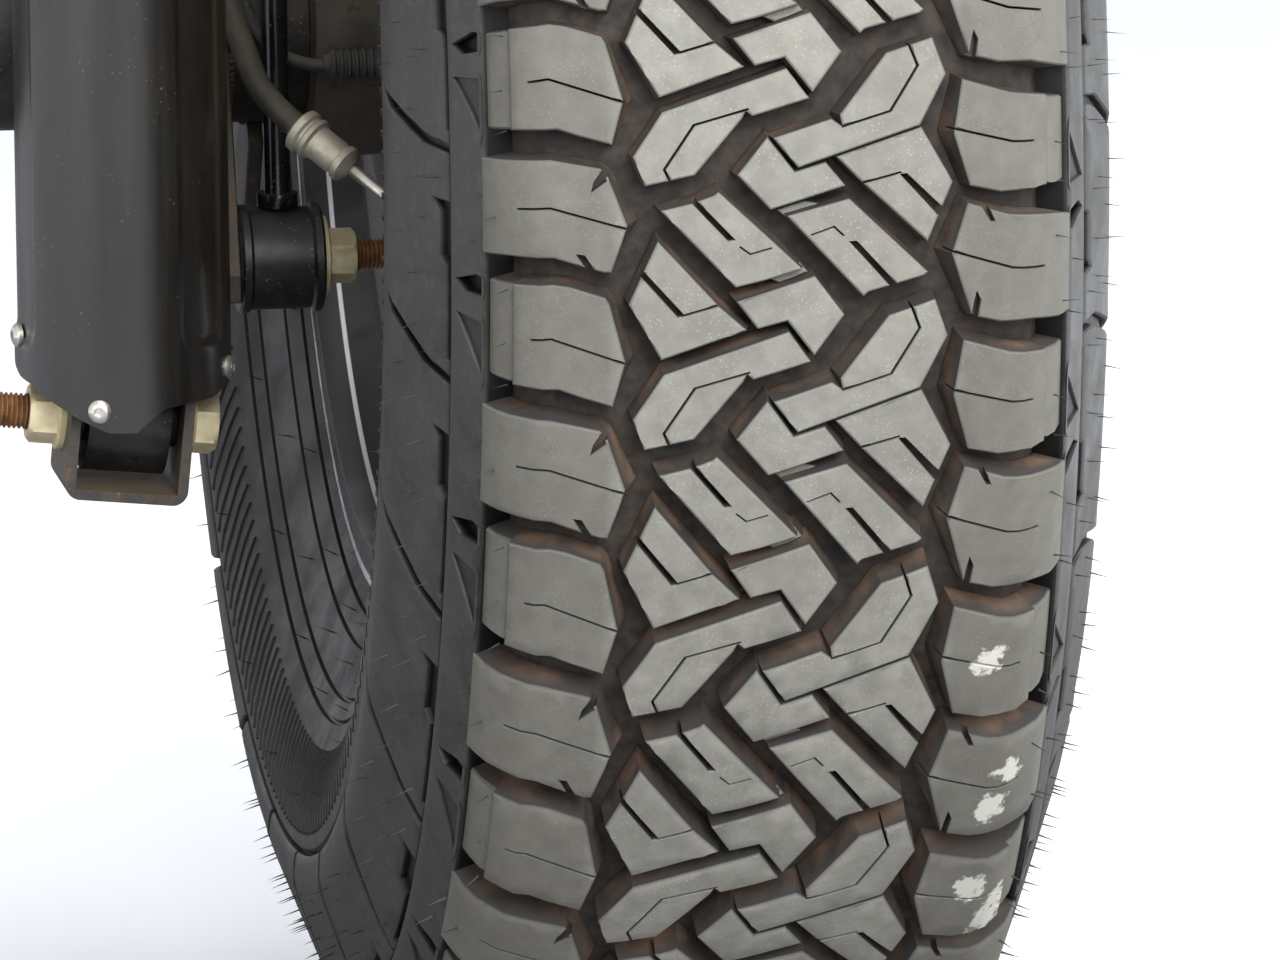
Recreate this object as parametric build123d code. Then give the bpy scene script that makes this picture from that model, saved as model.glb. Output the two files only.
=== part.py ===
"""Right rear wheel end of a lifted off-road 4x4.

The frame is the vehicle's: X points outboard (to the right of the vehicle), Y forward, Z up, in
millimetres. The origin is the centre of the axle tube's inboard end, on the wheel's axis.
Two bodies: the axle end with all that is bolted to it, and the wheel, which turns about X.
"""
import os
from math import atan2, cos, degrees, pi, radians, sin, tan

from build123d import *

os.makedirs("parts", exist_ok=True)

# Driving dimensions, in millimetres. "rear" faces -Y, "inboard" faces -X.
WHEEL_X = 430.0            # wheel's centre plane, from the tube's inboard end
FIT = 0.3                  # gap between curved faces that seat on each other
BEARING_GAP = 0.05         # radial running clearance of the shaft in its bearing

TYRE_R = 442.0             # over the tread, at the middle
TREAD_W = 214.0
CROWN_DROP = 20.5          # the tread's edge lies this much lower than its middle
SHOULDER_X = 92.0          # where the crown begins to round off, 8.5 mm lower
SHOULDER_FALL = 8.5
STEP_X = 121.0             # the shoulder's slope ends in a step on the side
STEP_R = 388.0
SECTION_W = 277.0          # widest, over the side lugs
SECTION_R = 342.0          # radius at which the tyre is widest
TREAD_THICK = 26.0         # from the tread's face to the inside
SIDE_THICK = 11.0

REPEATS = 24               # of the tread's pattern in a turn
PITCH_WAVES = 4            # the pattern's pitch grows and shrinks this many times in a turn
PITCH_CHANGE = 0.143       # by this share
PITCH_PHASE = 1.385
PATTERN_START = -0.0251    # radians below the rearmost point
GROOVE_DEPTH = 12.5
RING_GROOVE = (57.5, 64.5)  # from and to, on each side of the middle
SIDE_GROOVE_W = 12.5
SIDE_GROOVES = ((-1, 0.388), (-1, 0.910), (1, 0.689), (1, 1.161))    # side, and place in repeats
CENTRE_GROOVE_W = 8.0
CENTRE_GROOVES = ((1.117, 0.792), (0.769, 0.491))    # place at the left and right ring groove

BEAD_R = 218.3             # 17 inch bead seat
FLANGE_R = 232.0           # top of the rim's flange
BEAD_W = 190.5             # 7.5 inches between the flanges
FLANGE_THICK = 7.0
BARREL_R = 205.0           # outside of the rim's barrel between the bead seats
BARREL_WALL = 7.0
WELL_R = 190.0             # drop centre
WELL_X = 30.0              # middle of the drop centre, outboard of the wheel's plane
WELL_W = 40.0

HUB_FACE = 14.0            # wheel's mounting face, outboard of the wheel's plane
BOLT_CIRCLE_R = 63.5       # 5 x 127 mm
STUD_COUNT = 5
STUD_R = 7.0
STUD_LENGTH = 48.0
CENTRE_BORE_R = 35.8
PAD_R = 84.0               # wheel's centre pad
PAD_THICK = 22.0
SPOKE_COUNT = 8
SPOKE_W = 34.0
SPOKE_THICK = 24.0
NUT_R = 11.0
NUT_LENGTH = 34.0
CAP_R = 34.0
CAP_LENGTH = 46.0
VALVE_R = 4.0
VALVE_LENGTH = 36.0

DISC_R = 171.0
DISC_THICK = 14.0
DISC_INNER_R = 108.0
HAT_R = 100.0
HAT_DEPTH = 62.0           # from the hat's face to the disc's outboard face
HAT_WALL = 7.0
HUB_FLANGE_R = 76.0
HUB_FLANGE_THICK = 12.0
SHAFT_R = 22.0
SHAFT_LENGTH = 118.0       # inboard of the hub's flange

TUBE_R = 41.3              # 3.25 inch axle tube
SPIGOT_R = 38.1            # turned end that is pressed into the differential's housing
SPIGOT_LENGTH = 60.0
TUBE_WALL = 6.4
HOUSING_R = 56.0
HOUSING_LENGTH = 46.0
HOUSING_X = -128.0         # inboard face of the bearing housing, from the wheel's plane
SHIELD_R = 182.0
SHIELD_THICK = 2.5
SHIELD_CUT_ANGLE = 34.0    # half angle of the shield's opening for the caliper
SHIELD_CUT_IN = 18.0       # the opening reaches this far inside the caliper's inner radius

CALIPER_ANGLE = 12.0       # caliper's middle below the horizontal, at the rear
CALIPER_SPAN = 22.0        # half angle that it covers
CALIPER_IN_R = 118.0
CALIPER_OUT_R = 192.0
CALIPER_INBOARD = 22.0     # length of the inboard half, with the piston
CALIPER_OUTBOARD = 15.0
CALIPER_BRIDGE_R = 176.5   # underside of the bridge, over the disc
PAD_LINING = 9.0
PAD_PLATE = 5.0
PAD_GAP = 0.6
BRACKET_PLATE = 8.0
BRACKET_FOOT = 68.0        # caliper bracket's width at the housing
BRACKET_HEAD = 88.0        # and at the caliper
BRACKET_LAP = 12.0         # how far it reaches over the caliper's inner edge

SHOCK_X = 216.0
SHOCK_Y = -125.0
SHOCK_BOLT_Z = -135.0
SHOCK_TILT = 6.0           # the lower bolt droops outboard by this many degrees
SHOCK_TUBE_R = 30.0
SHOCK_TUBE_LOW = 30.0      # tube's lower end above the bolt
SHOCK_TUBE_LENGTH = 262.0
SHOCK_ROD_R = 9.0
SHOCK_ROD_LENGTH = 150.0
SHOCK_TOP_R = 20.0
EYE_R = 21.0
EYE_WALL = 5.0
EYE_LENGTH = 32.0
SHOCK_BOLT_R = 7.0
SLEEVE_WALL = 3.0
EAR_GAP = 40.0             # between the ears of the shock's bracket
EAR_PLATE = 4.0
EAR_REAR = 26.0            # ears' rear edge behind the bolt
EAR_FRONT = 24.0
U_FLOOR = 29.0             # underside of the U below the bolt
GUARD_R = 42.0
GUARD_WALL = 3.5
GUARD_HALF_ANGLE = 96.0
GUARD_LOW = 8.0            # tongue's end above the bolt
GUARD_LENGTH = 318.0
GUARD_CHAMFER = 24.0       # rise of the tongue towards its sides
CLAMP_HEIGHT = 16.0
CLAMP_LOW = 44.0
CLAMP_HIGH = 236.0

LINK_X = 285.5             # middle of the link's lower eye
LINK_Y = -60.0
LINK_Z = -86.0
LINK_EYE_R = 21.5
LINK_EYE_LENGTH = 33.0
LINK_ROD_R = 5.0
LINK_LENGTH = 262.0
LINK_STUD_R = 6.0
LINK_STUD_OUT = 30.0       # stud beyond the eye
LINK_WASHER_R = 16.0
LINK_WASHER = 2.5
LINK_NUT_FLATS = 19.0
LINK_NUT = 11.0
LINK_PLATE = 6.0
LINK_PLATE_W = 30.0

ARM_BRACKET_X = 256.0      # middle of the lower control arm's bracket
ARM_BRACKET_GAP = 50.0
ARM_BRACKET_PLATE = 6.0
ARM_BOLT_Y = 62.0
ARM_BOLT_Z = -82.0
ARM_HOLE_R = 7.2
ARM_EYE_R = 30.0

HOSE_R = 5.0
LINE_R = 2.4
FERRULE_R = 7.0
COLLAR_R = 9.0
COLLAR_LENGTH = 9.0
CABLE_R = 2.4
BOOT_R = 6.0
BOOT_LENGTH = 24.0
STRAP = 3.0                # thickness of the hose's and the cable's brackets
STRAP_W = 16.0
HOSE_TAB_Z = 94.0          # underside of the tab that the hose hangs from
CABLE_TAB_Z = 69.0

# Routes, chosen by hand: the brake hose from its tab down to the crimped collar, the steel
# line from the ferrule into the caliper, the pipe along the axle tube, and the parking cable.
HOSE_ROUTE = ((250.8, -63, 94), (250.8, -63, 72.7), (257.2, -72, 45.3), (264.6, -84, 19.6),
              (268, -97, 4.6), (273.4, -113.8, -13.5), (286.5, -124, -23.9))
FERRULE_LENGTH = 27.4
LINE_END = (331.4, -150, -50)
PIPE_ROUTE = ((250.8, -63, 97), (250.8, -63, 112), (232, -52, 119), (206, -34, 90), (180, -18, 57),
              (140, -10, 42.9), (0, -10, 42.9))
CABLE_ROUTE = ((304, -62.5, -9.8), (298, -62.5, -9.8), (286.5, -49.5, -6.4), (278.2, -51, 4.6),
               (272.3, -55, 22.6), (270.6, -55, 46), (270.6, -55, 69))

# Places worked out from the dimensions above.
HUB_X = WHEEL_X + HUB_FACE
DISC_OUT_X = HUB_X - HAT_DEPTH
DISC_IN_X = DISC_OUT_X - DISC_THICK
HOUSING_IN_X = WHEEL_X + HOUSING_X
HOUSING_OUT_X = HOUSING_IN_X + HOUSING_LENGTH
BEAD_HALF = BEAD_W / 2
SHOCK_BOLT = Location((SHOCK_X, SHOCK_Y, SHOCK_BOLT_Z), (0, SHOCK_TILT, 0))


def save(node, solid):
    """Write one node's solids to its own file."""
    export_step(solid, "parts/" + node + ".step")


def rod_x(radius, x0, x1, y=0.0, z=0.0):
    """A round bar along X."""
    return Pos((x0 + x1) / 2, y, z) * Rot(0, 90, 0) * Cylinder(radius, x1 - x0)


def ring_x(outer, inner, x0, x1, y=0.0, z=0.0):
    """A round tube along X."""
    return rod_x(outer, x0, x1, y, z) - rod_x(inner, x0 - 1, x1 + 1, y, z)


def rod_z(radius, z0, z1, x=0.0, y=0.0):
    """A round bar along Z."""
    return Pos(x, y, (z0 + z1) / 2) * Cylinder(radius, z1 - z0)


def hex_x(flats, x0, x1, y=0.0, z=0.0):
    """A hexagon bar along X."""
    outline = RegularPolygon(flats / 2, 6, major_radius=False)
    return Pos(x0, y, z) * extrude(Plane.YZ * outline, x1 - x0)


def block(x0, x1, y0, y1, z0, z1):
    """A box between two corners."""
    return Pos((x0 + x1) / 2, (y0 + y1) / 2, (z0 + z1) / 2) * Box(x1 - x0, y1 - y0, z1 - z0)


def turned(points):
    """A closed outline of (x, radius) points, turned about the wheel's axis."""
    return revolve(Plane.XY * make_face(Polyline(*points, close=True)), Axis.X)


def plate_yz(points, x0, thick):
    """A flat plate of the (y, z) outline, from x0 outboard."""
    return Pos(x0, 0, 0) * extrude(Plane.YZ * make_face(Polyline(*points, close=True)), thick)


def bent_tube(points, radius, fraction=0.45):
    """A round tube along straight runs joined by tangent arcs as large as the runs allow."""
    route = [Vector(*p) for p in points]
    radii = []
    for before, here, after in zip(route, route[1:], route[2:]):
        turn = radians((here - before).get_angle(after - here))
        shorter = min((here - before).length, (after - here).length)
        radii.append(fraction * shorter / tan(turn / 2))
    path = FilletPolyline(*route, radius=radii)
    print("  bend radii", [round(r, 1) for r in radii], "length", round(path.length, 1))
    start = Plane(origin=path @ 0, z_dir=path % 0)
    return sweep(start * Circle(radius), path)


def tyre():
    """Carcass and tread in one, hollow over the rim, with the tread's main grooves cut in."""
    half = TREAD_W / 2
    edge_r = TYRE_R - CROWN_DROP
    wide = SECTION_W / 2
    inner_r = TYRE_R - TREAD_THICK
    foot = BEAD_HALF - FIT
    groove_in, groove_out = RING_GROOVE
    outer = Line((groove_in, crown_r(groove_in)), (groove_in, crown_r(groove_in) - GROOVE_DEPTH))
    outer += Line(outer @ 1, (groove_out, crown_r(groove_out) - GROOVE_DEPTH))
    outer += Line(outer @ 1, (groove_out, crown_r(groove_out)))
    outer += ThreePointArc((groove_out, crown_r(groove_out)), (SHOULDER_X, crown_r(SHOULDER_X)),
                           (half, edge_r))
    outer += Line((half, edge_r), (STEP_X, STEP_R))
    outer += Line((STEP_X, STEP_R), (wide, SECTION_R))
    outer += ThreePointArc((wide, SECTION_R), (wide - 4, SECTION_R - 40), (BEAD_HALF + 16, FLANGE_R + 28))
    outer += Line((BEAD_HALF + 16, FLANGE_R + 28), (foot, FLANGE_R + 8))
    outer += Line((foot, FLANGE_R + 8), (foot, BEAD_R + FIT))
    outer += Line((foot, BEAD_R + FIT), (foot - 20, BEAD_R + FIT))
    inner = Line((foot - 20, BEAD_R + FIT), (foot - 8, FLANGE_R + 14))
    inner += ThreePointArc((foot - 8, FLANGE_R + 14), (wide - SIDE_THICK, SECTION_R - 26),
                           (half - 14, inner_r - 26))
    crown = ThreePointArc((-groove_in, crown_r(groove_in)), (0, TYRE_R), (groove_in, crown_r(groove_in)))
    ceiling = ThreePointArc((half - 14, inner_r - 26), (0, inner_r), (-half + 14, inner_r - 26))
    side = outer + inner
    edges = [*side.edges(), *mirror(side, Plane.YZ).edges(), crown, ceiling]
    band = revolve(make_face(edges), Axis.X)
    return Pos(WHEEL_X, 0, 0) * band.cut(*tread_grooves())


def crown_r(x):
    """Radius of the tread's face at a place across it, up to where the crown rounds off."""
    return TYRE_R - SHOULDER_FALL * (x / SHOULDER_X) ** 2


def pattern_angle(place):
    """Degrees below the rearmost point of a place in the tread's pattern, in repeats."""
    wave = 2 * pi * PITCH_WAVES / REPEATS
    swell = cos(wave * (place - PITCH_PHASE)) - cos(wave * PITCH_PHASE)
    return degrees(PATTERN_START + 2 * pi / REPEATS * (place - PITCH_CHANGE / wave * swell))


def tread_grooves():
    """Solids that cut the grooves between the shoulder blocks, and the slanted ones in the middle."""
    ring = RING_GROOVE[0]
    start_x = sum(RING_GROOVE) / 2
    past = STEP_X + 20
    floor_in = crown_r(start_x) - GROOVE_DEPTH + 1
    floor_out = TYRE_R - CROWN_DROP - GROOVE_DEPTH * 0.85
    above = TYRE_R + 10
    cutters = []
    for repeat in range(REPEATS):
        for side, place in SIDE_GROOVES:
            outline = [(side * x, -r) for x, r in (
                (start_x, floor_in), (TREAD_W / 2, floor_out), (past, floor_out), (past, above),
                (start_x, above))]
            cutter = extrude(Plane.XY * make_face(Polyline(*outline, close=True)), SIDE_GROOVE_W / 2,
                             both=True)
            cutters.append(Rot(pattern_angle(repeat + place), 0, 0) * cutter)
        for left, right in CENTRE_GROOVES:
            start, end = pattern_angle(repeat + left), pattern_angle(repeat + right)
            slant = degrees(atan2(TYRE_R * radians(end - start), 2 * ring))
            length = 2 * ring / cos(radians(slant)) + 2
            cutter = Pos(0, -TYRE_R, 0) * Rot(0, slant, 0) * Box(length, 2 * GROOVE_DEPTH, CENTRE_GROOVE_W)
            cutters.append(Rot((start + end) / 2, 0, 0) * cutter)
    return cutters


def rim():
    """Barrel with drop centre and flanges, a centre pad and spokes: one casting."""
    half = BEAD_HALF
    out = half + FLANGE_THICK
    inside_r = BARREL_R - BARREL_WALL
    well_in, well_out = WELL_X - WELL_W / 2, WELL_X + WELL_W / 2
    barrel = turned([
        (-out, FLANGE_R), (-half, FLANGE_R), (-half, BEAD_R), (-half + 22, BEAD_R),
        (-half + 30, BARREL_R), (well_in - 14, BARREL_R), (well_in, WELL_R), (well_out, WELL_R),
        (well_out + 12, BARREL_R), (half - 30, BARREL_R), (half - 22, BEAD_R), (half, BEAD_R),
        (half, FLANGE_R), (out, FLANGE_R), (out, BEAD_R - 4), (half - 16, BEAD_R - 8),
        (half - 26, inside_r), (well_out + 16, inside_r), (well_out + 4, WELL_R - BARREL_WALL),
        (well_in - 4, WELL_R - BARREL_WALL), (well_in - 18, inside_r), (-half + 26, inside_r),
        (-half + 16, BEAD_R - 8), (-out, BEAD_R - 4)])
    face = HUB_FACE
    pad = ring_x(PAD_R, CENTRE_BORE_R, face, face + PAD_THICK)
    spoke_end = WELL_R - BARREL_WALL / 2
    spoke = plate_spoke(face, spoke_end)
    casting = barrel + pad
    for i in range(SPOKE_COUNT):
        casting += Rot(360 / SPOKE_COUNT * (i + 0.5), 0, 0) * spoke
    for i in range(STUD_COUNT):
        y, z = on_circle(BOLT_CIRCLE_R, i)
        casting -= rod_x(STUD_R + 0.5, face - 1, face + PAD_THICK + 1, y, z)
    casting -= valve_hole()
    return Pos(WHEEL_X, 0, 0) * casting


def plate_spoke(face, end_r):
    """One straight spoke, from inside the centre pad to the drop centre's wall."""
    lean = WELL_X + 4 - face
    outline = Polyline((face, PAD_R - 4), (face + SPOKE_THICK, PAD_R - 4),
                       (face + lean + SPOKE_THICK / 2, end_r), (face + lean - SPOKE_THICK / 2, end_r),
                       close=True)
    return extrude(Plane.XZ * make_face(outline), SPOKE_W / 2, both=True)


def on_circle(radius, index, count=STUD_COUNT):
    """The (y, z) place of one of a ring of equal places, the first straight up."""
    angle = radians(90 + 360 / count * index)
    return radius * cos(angle), radius * sin(angle)


def valve_hole():
    """Hole for the valve's stem, through the outboard bead seat's shoulder."""
    return rod_x(VALVE_R + FIT, BEAD_HALF - VALVE_LENGTH, BEAD_HALF + FLANGE_THICK + 1, 0,
                 -(BARREL_R - BARREL_WALL / 2))


def valve_stem():
    """Valve stem with its cap, at the bottom of the outboard side."""
    z = -(BARREL_R - BARREL_WALL / 2)
    x0 = WHEEL_X + BEAD_HALF - 34
    return rod_x(VALVE_R, x0, x0 + VALVE_LENGTH, 0, z)


def lug_nuts():
    """Nuts over the studs, seated on the wheel's centre pad."""
    x0 = HUB_X + PAD_THICK
    nuts = []
    for i in range(STUD_COUNT):
        y, z = on_circle(BOLT_CIRCLE_R, i)
        nut = hex_x(NUT_R * 2, x0, x0 + NUT_LENGTH, y, z)
        nuts.append(nut - rod_x(STUD_R + FIT, x0 - 1, HUB_X + STUD_LENGTH + 1, y, z))
    return Compound(nuts)


def centre_cap():
    """Plain domed cap in the wheel's centre bore."""
    x0 = HUB_X + PAD_THICK
    stem = rod_x(CENTRE_BORE_R - FIT, x0 - 10, x0)
    dome = rod_x(CAP_R + 6, x0, x0 + CAP_LENGTH - 20)
    return fillet(dome.edges().filter_by(GeomType.CIRCLE).group_by(Axis.X)[-1], 12) + stem


def brake_disc():
    """Disc with its top hat, clamped between the hub's flange and the wheel."""
    hat_in = DISC_OUT_X - HUB_X
    disc = turned([
        (0, CENTRE_BORE_R), (0, HAT_R), (hat_in, HAT_R), (hat_in, DISC_R),
        (hat_in - DISC_THICK, DISC_R), (hat_in - DISC_THICK, HAT_R - HAT_WALL),
        (-HAT_WALL, HAT_R - HAT_WALL), (-HAT_WALL, CENTRE_BORE_R)])
    for i in range(STUD_COUNT):
        y, z = on_circle(BOLT_CIRCLE_R, i)
        disc -= rod_x(STUD_R + 0.5, -HAT_WALL - 1, 1, y, z)
    return Pos(HUB_X, 0, 0) * disc


def hub_shaft():
    """Axle shaft's outer end, with its flange and wheel studs."""
    face = HUB_X - HAT_WALL
    shaft = rod_x(HUB_FLANGE_R, face - HUB_FLANGE_THICK, face)
    shaft += rod_x(CENTRE_BORE_R - FIT, face, HUB_X + 6)
    shaft += rod_x(SHAFT_R, face - HUB_FLANGE_THICK - SHAFT_LENGTH, face)
    for i in range(STUD_COUNT):
        y, z = on_circle(BOLT_CIRCLE_R, i)
        shaft += rod_x(STUD_R, face - HUB_FLANGE_THICK, HUB_X + STUD_LENGTH, y, z)
    return shaft


def axle_tube():
    """Axle tube, from its inboard end to the bearing housing."""
    tube = rod_x(SPIGOT_R, 0, SPIGOT_LENGTH) + rod_x(TUBE_R, SPIGOT_LENGTH, HOUSING_IN_X)
    return tube - rod_x(TUBE_R - TUBE_WALL, -1, HOUSING_IN_X + 1)


def bearing_housing():
    """Forged end of the axle: holds the wheel bearing and carries the brake."""
    body = rod_x(HOUSING_R, HOUSING_IN_X, HOUSING_OUT_X)
    body += rod_x(HOUSING_R + 22, HOUSING_OUT_X - 12, HOUSING_OUT_X)
    return body - rod_x(SHAFT_R + BEARING_GAP, HOUSING_IN_X - 1, HOUSING_OUT_X + 1)


def caliper_sector(inner, outer, x0, x1, margin=0.0):
    """A block of the caliper: a sector of a ring at the rear, between two radii."""
    start = 180 + CALIPER_ANGLE - CALIPER_SPAN + margin
    sweep_angle = 2 * (CALIPER_SPAN - margin)
    outline = [(r * cos(radians(a)), r * sin(radians(a))) for r, a in (
        (inner, start), (outer, start), (outer, start + sweep_angle), (inner, start + sweep_angle))]
    mid = radians(start + sweep_angle / 2)
    edges = [Line(outline[0], outline[1]),
             ThreePointArc(outline[1], (outer * cos(mid), outer * sin(mid)), outline[2]),
             Line(outline[2], outline[3]),
             ThreePointArc(outline[3], (inner * cos(mid), inner * sin(mid)), outline[0])]
    return Pos(x0, 0, 0) * extrude(Plane.YZ * make_face(edges), x1 - x0)


def brake_shield():
    """Thin dust shield behind the disc, open where the caliper reaches over."""
    x0 = HOUSING_OUT_X
    shield = ring_x(SHIELD_R, HOUSING_R - 10, x0, x0 + SHIELD_THICK)
    reach = SHIELD_R * 2
    a0 = radians(180 + CALIPER_ANGLE - SHIELD_CUT_ANGLE)
    a1 = radians(180 + CALIPER_ANGLE + SHIELD_CUT_ANGLE)
    near = (CALIPER_IN_R - SHIELD_CUT_IN) * cos(radians(SHIELD_CUT_ANGLE))
    wedge = [(near * cos(a0), near * sin(a0)), (reach * cos(a0), reach * sin(a0)),
             (reach * cos(a1), reach * sin(a1)), (near * cos(a1), near * sin(a1))]
    return shield - plate_yz(wedge, x0 - 1, SHIELD_THICK + 2)


def caliper_bracket():
    """Plate bolted to the housing's flange that carries the caliper."""
    x1 = HOUSING_OUT_X - 12
    x0 = x1 - BRACKET_PLATE
    angle = radians(180 + CALIPER_ANGLE)
    across = (-sin(angle), cos(angle))
    inner_r, outer_r = HOUSING_R + FIT, CALIPER_IN_R + BRACKET_LAP
    foot, head = BRACKET_FOOT / 2, BRACKET_HEAD / 2
    outline = []
    for radius, side in ((inner_r, -foot), (outer_r, -head), (outer_r, head), (inner_r, foot)):
        outline.append((radius * cos(angle) + side * across[0], radius * sin(angle) + side * across[1]))
    plate = plate_yz(outline, x0, BRACKET_PLATE)
    return plate - rod_x(HOUSING_R + FIT, x0 - 1, x1 + 1)


def caliper():
    """Floating caliper: inboard half with the piston, bridge, and outboard fingers."""
    pad_in = DISC_IN_X - PAD_GAP - PAD_LINING - PAD_PLATE
    pad_out = DISC_OUT_X + PAD_GAP + PAD_LINING + PAD_PLATE
    body = caliper_sector(CALIPER_IN_R + 20, CALIPER_OUT_R, pad_in - CALIPER_INBOARD, pad_in, 4)
    body += caliper_sector(CALIPER_BRIDGE_R, CALIPER_OUT_R, pad_in, pad_out, 4)
    body += caliper_sector(CALIPER_IN_R + 24, CALIPER_OUT_R, pad_out, pad_out + CALIPER_OUTBOARD, 4)
    return body


def brake_pads():
    """Inner and outer pad, each a lining on its steel plate."""
    pads = []
    for side, face in ((-1, DISC_IN_X - PAD_GAP), (1, DISC_OUT_X + PAD_GAP)):
        back = face + side * (PAD_LINING + PAD_PLATE)
        x0, x1 = min(face, back), max(face, back)
        pads.append(caliper_sector(CALIPER_IN_R + 8, CALIPER_BRIDGE_R - FIT, x0, x1, 5))
    return Compound(pads)


def shock_bracket():
    """Folded U with two ears, joined to the axle tube by two gusset plates."""
    inner, outer = EAR_GAP / 2, EAR_GAP / 2 + EAR_PLATE
    rear, front, low = -EAR_REAR, EAR_FRONT, -U_FLOOR
    fold = block(-outer, outer, rear, front, low, 20) - block(-inner, inner, rear - 1, front + 1,
                                                               low + EAR_PLATE, 21)
    corner = fold.edges().filter_by(Axis.Y).group_by(Axis.Z)[0]
    fold = fillet(corner, 6)
    fold -= rod_x(SHOCK_BOLT_R + FIT, -outer - 1, outer + 1)
    bracket = SHOCK_BOLT * fold
    tilt_rise = outer * sin(radians(SHOCK_TILT))
    for side in (-1, 1):
        x0 = SHOCK_X + side * (inner + EAR_PLATE / 2) - EAR_PLATE / 2
        y1 = SHOCK_Y + front - 2
        z0 = SHOCK_BOLT_Z
        gusset = plate_yz([(y1, z0 + 16 - side * tilt_rise), (y1, z0 + low + 6 - side * tilt_rise),
                           (-TUBE_R * 0.2, -TUBE_R - 26), (0, -TUBE_R + 4), (-TUBE_R + 4, 0),
                           (-TUBE_R - 14, 0)], x0, EAR_PLATE)
        bracket += gusset - rod_x(TUBE_R + FIT, x0 - 1, x0 + EAR_PLATE + 1)
    return bracket


def shock_bolt():
    """Lower shock bolt: flanged hexagon head outboard, thread standing out inboard."""
    outer = EAR_GAP / 2 + EAR_PLATE
    bolt = rod_x(SHOCK_BOLT_R, -outer - 32, outer + 1)
    bolt += rod_x(14, outer, outer + 2.5) + hex_x(21, outer + 2.5, outer + 12)
    return SHOCK_BOLT * bolt


def shock_nut():
    """Flanged nut and washer of the lower shock bolt."""
    outer = EAR_GAP / 2 + EAR_PLATE
    nut = rod_x(14, -outer - 3, -outer) + hex_x(21, -outer - 14, -outer - 3)
    return SHOCK_BOLT * (nut - rod_x(SHOCK_BOLT_R + FIT, -outer - 15, 1))


def shock_bushing():
    """Rubber bushing of the lower eye, on its steel sleeve."""
    half = EAR_GAP / 2
    bush = rod_x(EYE_R - EYE_WALL, -EYE_LENGTH / 2, EYE_LENGTH / 2)
    bush += rod_x(SHOCK_BOLT_R + SLEEVE_WALL, -half, half)
    return SHOCK_BOLT * (bush - rod_x(SHOCK_BOLT_R + FIT, -half - 1, half + 1))


def shock_tube():
    """Damper's tube, with the lower eye welded under it."""
    z0 = SHOCK_BOLT_Z + SHOCK_TUBE_LOW
    tube = rod_z(SHOCK_TUBE_R, z0, z0 + SHOCK_TUBE_LENGTH, SHOCK_X, SHOCK_Y)
    tube = chamfer(tube.edges().filter_by(GeomType.CIRCLE), 3)
    neck = rod_z(13, SHOCK_BOLT_Z + EYE_R - 4, z0 + 1, SHOCK_X, SHOCK_Y)
    eye = SHOCK_BOLT * rod_x(EYE_R, -EYE_LENGTH / 2, EYE_LENGTH / 2)
    hole = SHOCK_BOLT * rod_x(EYE_R - EYE_WALL + FIT, -EYE_LENGTH, EYE_LENGTH)
    return tube + neck + eye - hole


def shock_rod():
    """Piston rod with the upper eye."""
    z0 = SHOCK_BOLT_Z + SHOCK_TUBE_LOW + SHOCK_TUBE_LENGTH
    z1 = z0 + SHOCK_ROD_LENGTH
    rod = rod_z(SHOCK_ROD_R, z0, z1, SHOCK_X, SHOCK_Y)
    eye = rod_x(SHOCK_TOP_R, SHOCK_X - EYE_LENGTH / 2, SHOCK_X + EYE_LENGTH / 2, SHOCK_Y,
                z1 + SHOCK_TOP_R - 3)
    hole = rod_x(SHOCK_TOP_R - EYE_WALL + FIT, SHOCK_X - EYE_LENGTH, SHOCK_X + EYE_LENGTH, SHOCK_Y,
                 z1 + SHOCK_TOP_R - 3)
    return rod + eye - hole


def shock_top_bushing():
    """Upper bushing, with its steel sleeve for the frame's bolt."""
    z = SHOCK_BOLT_Z + SHOCK_TUBE_LOW + SHOCK_TUBE_LENGTH + SHOCK_ROD_LENGTH + SHOCK_TOP_R - 3
    half = EAR_GAP / 2
    bush = rod_x(SHOCK_TOP_R - EYE_WALL, SHOCK_X - EYE_LENGTH / 2, SHOCK_X + EYE_LENGTH / 2,
                 SHOCK_Y, z)
    bush += rod_x(SHOCK_BOLT_R + SLEEVE_WALL, SHOCK_X - half, SHOCK_X + half, SHOCK_Y, z)
    return bush - rod_x(SHOCK_BOLT_R + FIT, SHOCK_X - half - 1, SHOCK_X + half + 1, SHOCK_Y, z)


def guard_sector(outer, inner, z0, z1, half_angle):
    """Part of a ring round the damper, open to the front."""
    shell = rod_z(outer, z0, z1) - rod_z(inner, z0 - 1, z1 + 1)
    reach = outer * 3
    a = radians(half_angle)
    front = [(0, 0), (reach * sin(a), -reach * cos(a)), (reach, reach), (-reach, reach),
             (-reach * sin(a), -reach * cos(a))]
    cut = extrude(make_face(Polyline(*front, close=True)), z1 - z0 + 2)
    return shell - Pos(0, 0, z0 - 1) * cut


def shock_guard():
    """Curved guard round the rear of the damper, with a rounded tongue at its lower end."""
    z0 = GUARD_LOW
    shell = guard_sector(GUARD_R, GUARD_R - GUARD_WALL, z0, z0 + GUARD_LENGTH, GUARD_HALF_ANGLE)
    for side in (-1, 1):
        corner = Polyline((side * 14, z0 - 1), (side * (GUARD_R - 8), z0 + GUARD_CHAMFER * 0.55),
                          (side * (GUARD_R + 2), z0 + GUARD_CHAMFER * 1.7),
                          (side * (GUARD_R + 2), z0 - 1), close=True)
        shell -= extrude(Plane.XZ * make_face(corner), 2 * GUARD_R, both=True)
    return Pos(SHOCK_X, SHOCK_Y, SHOCK_BOLT_Z) * shell


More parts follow.
